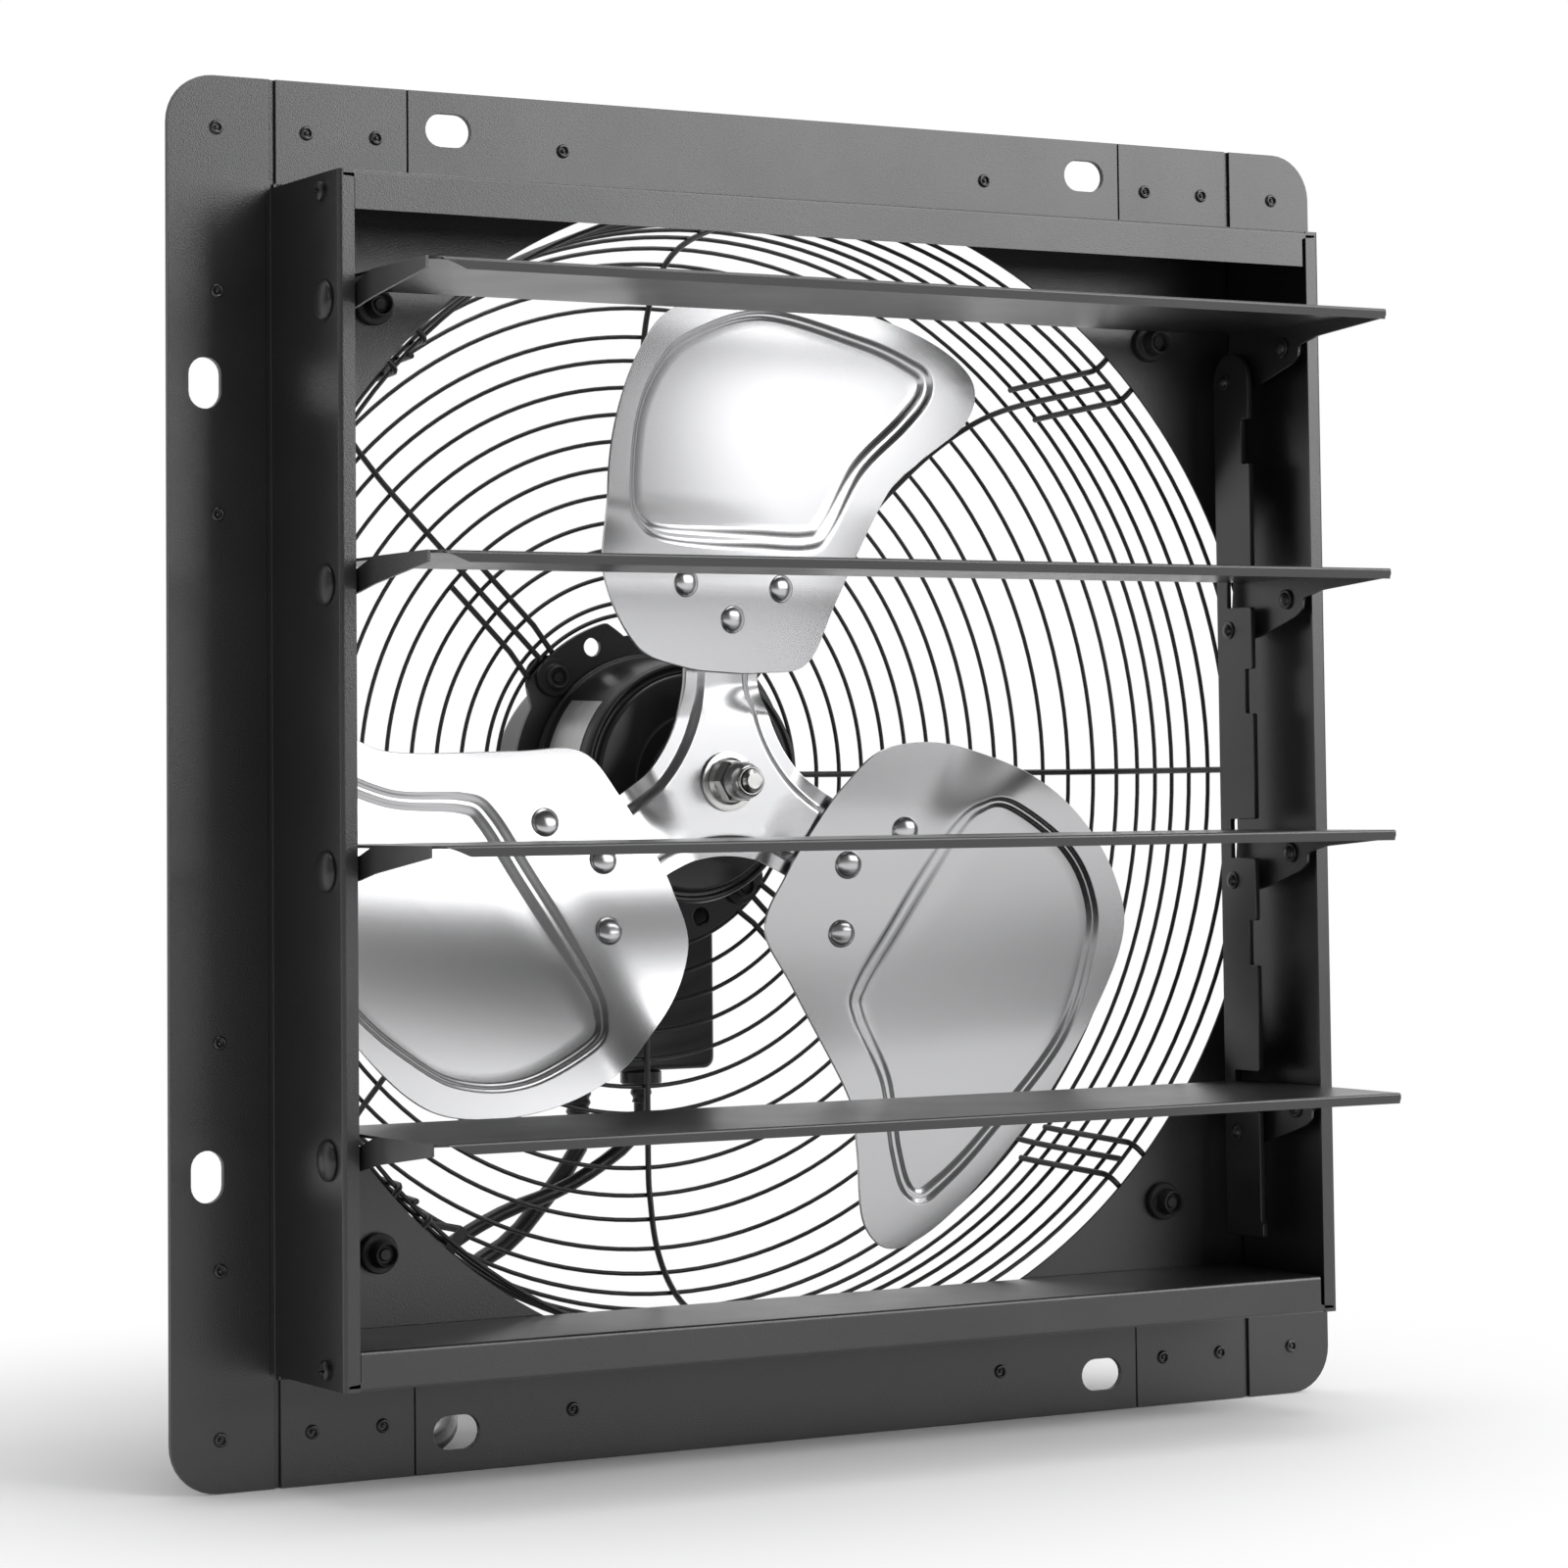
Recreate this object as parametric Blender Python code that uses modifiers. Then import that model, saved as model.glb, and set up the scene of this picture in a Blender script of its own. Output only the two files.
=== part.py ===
"""Shutter exhaust fan: a square wall panel with a sheet-metal shutter box in front, four louvers
that a link bar opens together, and a wire guard behind that carries the motor and its three-blade rotor.

X is right as seen from the shutter side, Y runs into the wall and Z is up. The origin is the middle
of the panel's front face. The louvers are modelled open, as a running fan holds them.
"""

import math

import bmesh
import bpy
from mathutils import Matrix, Vector

# Sheet metal and clearances
sheet = 0.0012
seat_gap = 0.0003
running_gap = 0.0003
overrun = 0.002

# Wall panel and its flange
panel_side = 0.570
flange_width = 0.045
panel_corner_radius = 0.020
flange_seam_share = 0.6253
side_seam_distance = 0.0017
seam_gap = 0.0003
slot_length = 0.021
slot_width = 0.014
slot_edge_distance = 0.016
slot_share = 0.5593
rivet_edge_distance = 0.0213
corner_rivet_distance = 0.0144
rail_rivet_share = 0.3709
stile_rivet_shares = (0.3726, 0.6909)
rivet_head_radius = 0.003
rivet_head_height = 0.0012
throat_margin_width = 0.0136

# Shutter box
box_depth = 0.0672
side_return_width = 0.0068
rail_height = 0.0158
rail_end_gap = 0.002
tab_depth = 0.030
corner_screw_setback_depth = 0.0162
corner_screw_edge_distance = 0.0074
screw_radius = 0.002
screw_head_radius = 0.004
screw_head_height = 0.0024
screw_length = 0.006

# Louvers and their pivots
louver_count = 4
top_pivot_edge_distance = 0.0512
bottom_pivot_edge_distance = 0.0892
pivot_setback_depth = 0.0142
louver_rise_height = 0.0103
louver_end_gap = 0.0092
louver_lap_gap = 0.0012
louver_lip_height = 0.0044
lip_root_trim_width = 0.0062
lip_edge_trim_width = 0.0176
left_tab_front_height = 0.0047
left_tab_back_height = 0.0111
left_tab_front_length = 0.024
left_arm_step_width = 0.0014
left_arm_bend_length = 0.011
left_lug_step_width = 0.0057
left_lug_length = 0.006
left_lug_rise_height = 0.0055
left_lug_drop_height = 0.0078
bracket_front_share = 0.35
bracket_front_rise_height = 0.003
bracket_lobe_length = 0.012
bracket_lobe_height = 0.0078
bracket_tail_height = 0.016
bracket_tail_length = 0.020
link_pin_height = 0.0126
link_lobe_radius = 0.0062
pivot_radius = 0.003
pivot_dome_radius = 0.00825
pivot_dome_height = 0.003
pivot_head_radius = 0.0045
pivot_head_height = 0.0014

# Link bar
bar_side_distance = 0.0068
bar_thickness = 0.0024
bar_back_distance = 0.0073
bar_pin_distance = 0.0162
bar_front_distance = 0.034
bar_bottom_edge_distance = 0.0303
bar_foot_height = 0.0067
bar_foot_length = 0.001
bar_notch_top_height = 0.0151
bar_notch_bottom_height = 0.0026
bar_notch_distance = 0.0154
bar_notch_gap = 0.0011
bar_lobe_distance = 0.0335
bar_lobe_height = 0.0305
bar_relief_distance = 0.0282
bar_relief_height = 0.0506
link_pin_radius = 0.0025
link_pin_head_radius = 0.004
link_pin_head_height = 0.0012

# Guard
guard_gap = 0.0046
guard_depth = 0.131
guard_wire_diameter = 0.0026
guard_eye_radius = 0.0744
guard_first_ring_radius = 0.080
guard_last_ring_share = 0.91165
guard_back_rings = 13
guard_side_ring_shares = (0.794, 0.695, 0.542, 0.3817, 0.229, 0.0763)
guard_profile_shares = (
    (0.743, 1.0),
    (0.767, 0.989),
    (0.841, 0.962),
    (0.900, 0.897),
    (0.944, 0.802),
    (0.968, 0.695),
    (0.982, 0.542),
    (1.0, 0.038),
)
loop_half_width = 0.0085
inner_loop_share = 0.51
outer_loop_share = 0.61
guard_bolt_edge_distance = 0.0209
foot_depth = 0.0043
wire_clearance = 0.001
bolt_radius = 0.003
bolt_bush_radius = 0.0052
bolt_flange_radius = 0.0083
bolt_front_height = 0.009
bolt_flange_height = 0.003
bolt_washer_radius = 0.0105
bolt_washer_height = 0.0015
bolt_nut_radius = 0.006
bolt_nut_height = 0.005

# Motor, on an axis a little under the panel's middle
axis_drop_height = 0.0031
ring_radius = 0.0677
ring_ear_radius = 0.0755
ring_seat_gap = 0.0004
ring_thickness = 0.0026
ear_half_angle = 19.0
ear_ramp = 6.0
ear_middle_angle = 124.5
motor_bolt_angle = 135.0
spare_hole_angle = 114.0
motor_bolt_circle_radius = 0.0675
spare_hole_radius = 0.00425
motor_bolt_flange_radius = 0.0085
motor_bolt_flange_height = 0.0022
motor_bolt_head_radius = 0.0054
motor_bolt_head_height = 0.0042
shell_wall_thickness = 0.0025
front_shell_length = 0.0457
shell_front_radius = 0.0483
shell_shoulder_radius = 0.053
shell_shoulder_length = 0.002
shell_back_radius = 0.0569
shell_shaft_hole_radius = 0.0085
rear_shell_radius = 0.0564
rear_shell_length = 0.0483
bearing_radius = 0.015
bearing_width = 0.009
front_bearing_length = 0.0045
rear_bearing_length = 0.017
boss_wall_thickness = 0.003
stator_radius = 0.050
stator_bore_radius = 0.029
stator_front_length = 0.0217
stator_back_length = 0.0183
winding_inner_radius = 0.033
winding_outer_radius = 0.046
winding_length = 0.009
rotor_core_radius = 0.0285
shaft_radius = 0.005
shaft_tip_length = 0.0247
shaft_shoulder_radius = 0.0075
shaft_end_length = 0.005

# Rotor
spider_distance = 0.0292
spider_thickness = 0.0025
spider_arm_half_width = 0.020
spider_neck_length = 0.062
spider_pad_half_width = 0.036
spider_pad_start_length = 0.074
spider_pad_corner_radius = 0.008
spider_length = 0.098
spider_web_radius = 0.033
spider_flat_length = 0.028
spider_bend_length = 0.044
blade_count = 3
blade_tip_gap = 0.019
blade_thickness = 0.0016
blade_root_distance = 0.0013
blade_pitch_share = 0.180
blade_rake_share = 0.049
camber_height = 0.010
camber_middle_share = 0.1913
camber_width_share = 0.513
camber_start_share = 0.3826
camber_full_share = 0.5435
emboss_depth = 0.0025
emboss_step_share = 0.94
blade_outline_shares = (
    (-0.11, 0.22),
    (-0.22, 0.26),
    (-0.30, 0.40),
    (-0.31, 0.62),
    (-0.24, 0.81),
    (-0.12, 0.91),
    (0.16, 0.94),
    (0.44, 0.89),
    (0.59, 0.81),
    (0.59, 0.72),
    (0.47, 0.63),
    (0.39, 0.56),
    (0.27, 0.35),
    (0.20, 0.23),
    (0.09, 0.21),
    (-0.01, 0.21),
)
emboss_outline_shares = (
    (-0.16, 0.49),
    (-0.21, 0.50),
    (-0.24, 0.54),
    (-0.23, 0.68),
    (-0.18, 0.78),
    (-0.10, 0.84),
    (0.08, 0.89),
    (0.32, 0.85),
    (0.44, 0.81),
    (0.47, 0.78),
    (0.42, 0.72),
    (0.30, 0.62),
    (0.22, 0.50),
    (0.19, 0.49),
    (0.07, 0.49),
    (-0.05, 0.49),
)
blade_rivet_radius = 0.0054
blade_rivet_height = 0.0025
blade_rivet_shares = ((-0.1035, 0.3787), (0.1296, 0.3722), (0.0109, 0.3109))
washer_radius = 0.0132
washer_thickness = 0.0016
nut_corner_radius = 0.010
nut_height = 0.009
nut_collar_radius = 0.0105
nut_collar_height = 0.0025
nut_nose_radius = 0.0077
nut_nose_tip_radius = 0.006
nut_nose_length = 0.0095

# Capacitor box and glands under the motor
capacitor_box_width = 0.086
capacitor_box_distance = 0.0153
capacitor_box_depth = 0.036
capacitor_box_height = 0.0752
capacitor_box_wall_thickness = 0.002
capacitor_box_edge_radius = 0.002
capacitor_lid_thickness = 0.002
capacitor_radius = 0.013
capacitor_length = 0.060
capacitor_height = 0.030
gland_radius = 0.0095
gland_height = 0.0062
gland_spigot_radius = 0.0045
gland_spigot_height = 0.0035
power_gland_width = 0.018
power_gland_depth = 0.021
control_gland_width = 0.009
control_gland_depth = 0.010
power_relief_length = 0.020
control_relief_length = 0.0082
relief_root_wall_thickness = 0.0023
relief_tip_wall_thickness = 0.0008

# Cords, each a tube down to a coil behind the lower left corner of the panel
cord_point_spacing = 2.8
power_cord_diameter = 0.0084
control_cord_diameter = 0.0068
turn_gap = 0.0008
coil_side_edge_distance = 0.075
power_coil_bottom_edge_distance = 0.055
power_coil_depth = 0.0185
power_coil_mid_radius = 0.0424
power_coil_turns = 5.667
power_coil_layers = 4
power_coil_leave = 0.0
control_coil_bottom_edge_distance = 0.059
control_coil_depth = 0.0625
control_coil_mid_radius = 0.0357
control_coil_turns = 2.472
control_coil_layers = 2
control_coil_leave = 25.0
plug_length = 0.036
plug_width = 0.026
plug_height = 0.022
plug_taper_share = 0.6
plug_pin_length = 0.018
plug_pin_width = 0.0063
plug_pin_thickness = 0.0015
plug_pin_distance = 0.00635
earth_pin_radius = 0.0024
earth_pin_distance = 0.008
earth_pin_length = 0.020
connector_radius = 0.007
connector_length = 0.030
connector_nose_radius = 0.005
connector_nose_length = 0.008
tie_angle = 231.5
tie_thickness = 0.0012
tie_width = 0.0048
tie_hook_distance = 0.0092
tie_slant_distance = 0.012
tie_outer_distance = 0.0445
tie_front_depth = 0.0118
tie_slant_depth = 0.060
tie_back_depth = 0.0775

power_route_from_gland = (
    (-0.0110, 0.0000, -0.0232),
    (-0.0234, 0.0000, -0.0368),
    (-0.0359, 0.0000, -0.0489),
    (-0.0553, -0.0010, -0.0592),
    (-0.0740, -0.0090, -0.0722),
)
power_route_to_coil = (
    (0.0936, 0.1185, 0.0309),
    (0.0836, 0.0935, 0.0189),
    (0.0756, 0.0635, 0.0099),
    (0.0626, 0.0335, 0.0034),
    (0.0416, 0.0115, 0.0004),
)
control_route_from_gland = (
    (-0.0050, -0.0005, -0.0160),
    (-0.0140, -0.0010, -0.0225),
    (-0.0310, -0.0020, -0.0319),
    (-0.0480, -0.0020, -0.0390),
    (-0.0690, -0.0020, -0.0450),
    (-0.0900, -0.0020, -0.0540),
)
control_route_to_coil = (
    (0.1052, 0.0855, 0.0529),
    (0.0852, 0.0775, 0.0399),
    (0.0662, 0.0625, 0.0269),
    (0.0512, 0.0415, 0.0149),
    (0.0372, 0.0205, 0.0054),
)

half_panel = panel_side / 2
box_side = panel_side - 2 * flange_width
half_box = box_side / 2
panel_front = sheet + seat_gap
panel_back = panel_front + sheet
wall_inside = half_box - sheet
throat_radius = half_box + throat_margin_width
flange_seam = half_panel * flange_seam_share
side_flange_seam = half_box - side_seam_distance
slot_line = half_panel - slot_edge_distance
slot_place = half_panel * slot_share
rivet_line = half_panel - rivet_edge_distance
rail_rivet_place = half_panel * rail_rivet_share
stile_rivet_places = [half_panel * share for share in stile_rivet_shares]
corner_rivet_places = [
    flange_seam + corner_rivet_distance,
    side_flange_seam - corner_rivet_distance,
]
corner_screw_depth = box_depth - corner_screw_setback_depth
corner_screw_line = half_box - corner_screw_edge_distance

pivot_depth = box_depth - pivot_setback_depth
top_pivot_height = half_box - top_pivot_edge_distance
pivot_span = box_side - top_pivot_edge_distance - bottom_pivot_edge_distance
louver_pitch = pivot_span / (louver_count - 1)
pivot_heights = [top_pivot_height - louver_pitch * i for i in range(louver_count)]
louver_half_width = half_box - louver_end_gap
louver_back_reach = pivot_depth - bar_notch_distance - bar_notch_gap
louver_front_reach = louver_pitch - louver_back_reach - louver_lap_gap
link_pin_reach = pivot_depth - bar_pin_distance
bar_inner_face = louver_half_width - bar_side_distance
bar_bottom = half_box - bar_bottom_edge_distance

guard_radius = throat_radius - guard_gap
guard_last_ring_radius = guard_radius * guard_last_ring_share
guard_ring_span = guard_last_ring_radius - guard_first_ring_radius
guard_ring_pitch = guard_ring_span / (guard_back_rings - 1)
inner_loop_reach = guard_radius * inner_loop_share
outer_loop_depth = guard_depth * outer_loop_share
guard_bolt_place = (throat_radius + guard_bolt_edge_distance) / math.sqrt(2)

fan_axis = Vector((0, 0, -axis_drop_height))
ring_front = guard_depth - guard_wire_diameter / 2 - ring_seat_gap - ring_thickness
shell_front = ring_front - front_shell_length
shell_shoulder_depth = shell_front + shell_shoulder_length
rear_shell_back = ring_front + rear_shell_length
front_bearing_depth = shell_front + front_bearing_length
rear_bearing_depth = rear_shell_back - rear_bearing_length
stator_front = ring_front - stator_front_length
stator_back = ring_front + stator_back_length
shaft_end = rear_shell_back - shaft_end_length

spider_front = shell_front - spider_distance
shaft_tip = spider_front - shaft_tip_length
blade_root_depth = spider_front + blade_root_distance
blade_tip_radius = guard_radius - blade_tip_gap
camber_middle = blade_tip_radius * camber_middle_share
camber_width = blade_tip_radius * camber_width_share
camber_start = blade_tip_radius * camber_start_share
camber_full = blade_tip_radius * camber_full_share

capacitor_box_front = ring_front + capacitor_box_distance
capacitor_box_top = axis_drop_height + rear_shell_radius + seat_gap
capacitor_box_bottom = capacitor_box_top + capacitor_box_height
power_gland_place = (-power_gland_width, capacitor_box_front + power_gland_depth)
control_gland_place = (control_gland_width, capacitor_box_front + control_gland_depth)

coil_across = coil_side_edge_distance - half_panel
power_coil_centre = (coil_across, power_coil_bottom_edge_distance - half_panel)
control_coil_centre = (coil_across, control_coil_bottom_edge_distance - half_panel)
tie_outline = (
    (guard_radius - tie_hook_distance, tie_front_depth),
    (guard_radius - tie_hook_distance, tie_slant_depth),
    (guard_radius + tie_slant_distance, tie_back_depth),
    (guard_radius + tie_outer_distance, tie_back_depth),
    (guard_radius + tie_outer_distance, tie_front_depth),
)

full_turn = 2 * math.pi
face_y = (math.pi / 2, 0, 0)
face_x = (math.pi / 2, 0, math.pi / 2)

for old in list(bpy.data.objects):
    bpy.data.objects.remove(old, do_unlink=True)

parts = bpy.data.collections.new("shutter_exhaust_fan")
cutters = bpy.data.collections.new("cutters")
bpy.context.scene.collection.children.link(parts)
bpy.context.scene.collection.children.link(cutters)


def finish(name, colour, metallic, roughness):
    """One Principled material."""
    material = bpy.data.materials.new(name)
    material.use_nodes = True
    shader = material.node_tree.nodes["Principled BSDF"]
    shader.inputs["Base Color"].default_value = (*colour, 1)
    shader.inputs["Metallic"].default_value = metallic
    shader.inputs["Roughness"].default_value = roughness
    return material


black_coat = finish("black_powder_coat", (0.03, 0.03, 0.032), 0, 0.42)
black_wire = finish("black_guard_wire", (0.02, 0.02, 0.02), 0, 0.4)
black_motor = finish("black_motor_paint", (0.025, 0.025, 0.027), 0, 0.35)
bright_aluminium = finish("brushed_aluminium", (0.75, 0.76, 0.77), 1, 0.3)
zinc_steel = finish("zinc_plated_steel", (0.55, 0.55, 0.54), 1, 0.3)
black_steel = finish("blackened_steel", (0.05, 0.05, 0.05), 1, 0.35)
black_rubber = finish("black_rubber", (0.02, 0.02, 0.02), 0, 0.7)
black_plastic = finish("black_plastic", (0.03, 0.03, 0.03), 0, 0.5)
steel_lamination = finish("steel_lamination", (0.35, 0.35, 0.36), 1, 0.5)


def on_axis(point):
    """A point given from the fan's axis, in the panel's frame."""
    return Vector(point) + fan_axis


def add_object(name, mesh, material, rotation=(0, 0, 0), location=(0, 0, 0), collection=parts):
    thing = bpy.data.objects.new(name, mesh)
    collection.objects.link(thing)
    thing.rotation_euler = rotation
    thing.location = location
    if material is not None:
        thing.data.materials.clear()
        thing.data.materials.append(material)
    return thing


def settle(thing, smooth=True):
    """Replace an object by its evaluated mesh, with caps welded and faces turned outwards."""
    bpy.context.view_layer.update()
    evaluated = thing.evaluated_get(bpy.context.evaluated_depsgraph_get())
    mesh = bpy.data.meshes.new_from_object(evaluated)
    shape = bmesh.new()
    shape.from_mesh(mesh)
    bmesh.ops.remove_doubles(shape, verts=shape.verts, dist=sheet / 1000)
    bmesh.ops.recalc_face_normals(shape, faces=shape.faces)
    shape.to_mesh(mesh)
    shape.free()
    if smooth:
        mesh.shade_smooth()
        mesh.set_sharp_from_angle(angle=math.radians(30))
    name, place, home = thing.name, thing.matrix_world.copy(), thing.users_collection[0]
    used = thing.data.materials[0] if thing.data.materials else None
    bpy.data.objects.remove(thing, do_unlink=True)
    solid = add_object(name, mesh, used, collection=home)
    solid.name = name
    solid.matrix_world = place
    return solid


def as_cutter(thing):
    """Move a shape to the cutters, where it is only a tool for another piece."""
    for home in list(thing.users_collection):
        home.objects.unlink(thing)
    cutters.objects.link(thing)
    thing.hide_render = True
    thing.display_type = "WIRE"
    return thing


def combine(thing, operation, *tools):
    """Union or cut with live booleans, whose tools wait among the cutters."""
    for tool in tools:
        as_cutter(tool)
        step = thing.modifiers.new(f"{operation.lower()}_{tool.name}", "BOOLEAN")
        step.operation = operation
        step.solver = "EXACT"
        step.object = tool
    return thing


def merge(thing, operation, *tools):
    """Union or cut at once, for a shape that is repeated; the tools are used up."""
    combine(thing, operation, *tools)
    solid = settle(thing)
    for tool in tools:
        bpy.data.objects.remove(tool, do_unlink=True)
    return solid


def block(name, low, high, material=None):
    """A rectangular solid between two corners."""
    low, high = Vector(low), Vector(high)
    shape = bmesh.new()
    bmesh.ops.create_cube(shape, size=1)
    bmesh.ops.scale(shape, vec=high - low, verts=shape.verts)
    mesh = bpy.data.meshes.new(name)
    shape.to_mesh(mesh)
    shape.free()
    return add_object(name, mesh, material, location=(low + high) / 2)


def across_flats(radius, sides=8):
    """Corner radius of a many-sided hole that still clears a round of this radius."""
    return radius / math.cos(math.pi / sides)


def rods(
    name,
    places,
    direction,
    radius,
    length,
    sides=8,
    material=None,
    tip_radius=None,
    location=(0, 0, 0),
):
    """Short cylinders or cones of one size on one direction, as one tool."""
    shape = bmesh.new()
    turn = Vector(direction).to_track_quat("Z", "Y").to_matrix().to_4x4()
    for place in places:
        bmesh.ops.create_cone(
            shape,
            cap_ends=True,
            segments=sides,
            radius1=radius,
            radius2=radius if tip_radius is None else tip_radius,
            depth=length,
            matrix=Matrix.Translation(place) @ turn,
        )
    mesh = bpy.data.meshes.new(name)
    shape.to_mesh(mesh)
    shape.free()
    return add_object(name, mesh, material, location=location)


def plate(name, loops, thickness, rotation, location, material=None):
    """A flat outline, with any holes as further loops, as a sheet of even thickness."""
    curve = bpy.data.curves.new(name, "CURVE")
    curve.dimensions = "2D"
    curve.fill_mode = "BOTH"
    curve.extrude = thickness / 2
    for loop in loops:
        spline = curve.splines.new("POLY")
        spline.points.add(len(loop) - 1)
        for point, (u, v) in zip(spline.points, loop):
            point.co = (u, v, 0, 1)
        spline.use_cyclic_u = True
    return settle(add_object(name, curve, material, rotation, location), smooth=False)


def turned(name, outline, direction, location, steps=12, material=None):
    """A lathe shape: (radius, station) points, station measured along the direction."""
    area = sum(
        a[0] * b[1] - b[0] * a[1] for a, b in zip(outline, (*outline[1:], outline[0]))
    )
    points = list(outline) if area < 0 else list(reversed(outline))
    closed = min(radius for radius, _ in points) > 0
    if not closed:
        while points[0][0] > 0 or points[-1][0] > 0:
            points.append(points.pop(0))
    edges = [(i, i + 1) for i in range(len(points) - 1)]
    if closed:
        edges.append((len(points) - 1, 0))
    mesh = bpy.data.meshes.new(name)
    mesh.from_pydata([(radius, 0, station) for radius, station in points], edges, [])
    turn = Vector(direction).to_track_quat("Z", "Y").to_euler()
    thing = add_object(name, mesh, material, turn, location)
    screw = thing.modifiers.new("turn", "SCREW")
    screw.axis = "Z"
    screw.angle = full_turn
    screw.steps = steps
    screw.render_steps = steps
    screw.use_merge_vertices = True
    screw.merge_threshold = sheet / 1000
    return settle(thing)


def arc(centre, radius, start, end, count):
    """Points of an arc in degrees, both ends included."""
    angles = [math.radians(start + (end - start) * i / (count - 1)) for i in range(count)]
    return [(centre[0] + radius * math.cos(a), centre[1] + radius * math.sin(a)) for a in angles]


def circle(centre, radius, count):
    return arc(centre, radius, 0, 360 - 360 / count, count)


def rounded_rectangle(half_width, half_height, radius, count=4):
    """A centred rectangle with round corners."""
    loop = []
    for sign_u, sign_v, start in ((1, 1, 0), (-1, 1, 90), (-1, -1, 180), (1, -1, 270)):
        corner = (sign_u * (half_width - radius), sign_v * (half_height - radius))
        loop += arc(corner, radius, start, start + 90, count)
    return loop


def slot(centre, upright, count=4):
    """A slotted hole lying flat, or standing when upright."""
    run = (slot_length - slot_width) / 2
    loop = arc((run, 0), slot_width / 2, -90, 90, count)
    loop += arc((-run, 0), slot_width / 2, 90, 270, count)
    if upright:
        loop = [(-v, u) for u, v in loop]
    return [(centre[0] + u, centre[1] + v) for u, v in loop]


def smooth_closed(points, per_span):
    """A closed curve through points, each span a cubic set by its neighbours."""
    count = len(points)
    loop = []
    for i in range(count):
        a, b, c, d = (Vector(points[(i + k) % count]) for k in (-1, 0, 1, 2))
        for step in range(per_span):
            t = step / per_span
            loop.append(cubic(a, b, c, d, t))
    return loop


def smooth_run(points, spacing):
    """Evenly spaced points on a smooth curve through a route, whose first and last points only
    set the direction that the curve leaves and arrives in."""
    fine = []
    steps = 12
    for i in range(1, len(points) - 2):
        fine += [cubic(*points[i - 1 : i + 3], step / steps) for step in range(steps)]
    fine.append(points[-2])
    lengths = [0]
    for a, b in zip(fine, fine[1:]):
        lengths.append(lengths[-1] + (b - a).length)
    count = round(lengths[-1] / spacing)
    evenly = []
    at = 0
    for i in range(count + 1):
        wanted = lengths[-1] * i / count
        while at < len(fine) - 2 and lengths[at + 1] < wanted:
            at += 1
        share = (wanted - lengths[at]) / (lengths[at + 1] - lengths[at])
        evenly.append(fine[at].lerp(fine[at + 1], min(1, share)))
    return evenly


def cubic(a, b, c, d, t):
    """The Catmull-Rom cubic between b and c."""
    return (
        2 * b
        + (c - a) * t
        + (2 * a - 5 * b + 4 * c - d) * t**2
        + (3 * b - a - 3 * c + d) * t**3
    ) / 2


def tube(name, points, diameter, detail, material):
    """A round tube with filled ends through points."""
    curve = bpy.data.curves.new(name, "CURVE")
    curve.dimensions = "3D"
    curve.bevel_depth = diameter / 2
    curve.bevel_resolution = detail
    curve.use_fill_caps = True
    spline = curve.splines.new("POLY")
    spline.points.add(len(points) - 1)
    for point, place in zip(spline.points, points):
        point.co = (*place, 1)
    return settle(add_object(name, curve, material))


def rivet_heads(name, places):
    """Domed rivet heads on the flange's front face, let into it by half the sheet."""
    depth = (sheet / 2 - rivet_head_height) / 2
    return rods(
        name,
        [(u, depth, v) for u, v in places],
        (0, -1, 0),
        rivet_head_radius,
        sheet / 2 + rivet_head_height,
        sides=6,
        tip_radius=rivet_head_radius * 0.6,
    )


def mirrored(places):
    """Each place with both signs of its second coordinate."""
    return [(u, sign * v) for u, v in places for sign in (1, -1)]


def back_panel():
    """Square sheet behind the flange, with the round throat and the slots of the flange."""
    slots = []
    for sign in (1, -1):
        for place in (slot_place, -slot_place):
            slots.append(slot((place, sign * slot_line), False))
            slots.append(slot((sign * slot_line, place), True))
    bolts = [
        circle((x, z), across_flats(bolt_radius + seat_gap), 8)
        for x in (guard_bolt_place, -guard_bolt_place)
        for z in (guard_bolt_place, -guard_bolt_place)
    ]
    outline = rounded_rectangle(half_panel, half_panel, panel_corner_radius)
    plate(
        "back_panel",
        [outline, circle((0, 0), throat_radius, 44), *slots, *bolts],
        sheet,
        face_y,
        (0, panel_front + sheet / 2, 0),
        black_coat,
    )


def side_panel(name, side):
    """Box side with its front return and its full-height flange."""
    front = -box_depth
    section = [
        (half_box, sheet / 2),
        (half_box, front),
        (half_box - side_return_width, front),
        (half_box - side_return_width, front + sheet),
        (wall_inside, front + sheet),
        (wall_inside, sheet / 2),
    ]
    wall = plate(
        name,
        [[(side * x, y) for x, y in section]],
        box_side,
        (0, 0, 0),
        (0, 0, 0),
        black_coat,
    )
    inner = half_box - sheet / 2
    corner = half_panel - panel_corner_radius
    flange = arc((corner, -corner), panel_corner_radius, -90, 0, 4)
    flange += arc((corner, corner), panel_corner_radius, 0, 90, 4)
    flange += [(inner, half_panel), (inner, -half_panel)]
    slots = [slot((slot_line, place), True) for place in (slot_place, -slot_place)]
    loops = [[(side * x, z) for x, z in loop] for loop in (flange, *slots)]
    skirt = plate(f"{name}_flange", loops, sheet, face_y, (0, sheet / 2, 0))
    heads = mirrored([(side * rivet_line, z) for z in (*stile_rivet_places, rivet_line)])
    pivots = rods(
        f"{name}_pivot_holes",
        [(side * (half_box - sheet / 2), -pivot_depth, z) for z in pivot_heights],
        (1, 0, 0),
        across_flats(pivot_radius + running_gap),
        sheet + 2 * overrun,
    )
    screws = rods(
        f"{name}_screw_holes",
        [
            (side * (half_box - sheet / 2), -corner_screw_depth, z)
            for z in (corner_screw_line, -corner_screw_line)
        ],
        (1, 0, 0),
        across_flats(screw_radius + seat_gap, 6),
        sheet + 2 * overrun,
        sides=6,
    )
    combine(wall, "UNION", skirt, rivet_heads(f"{name}_rivets", heads))
    combine(wall, "DIFFERENCE", pivots, screws)


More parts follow.
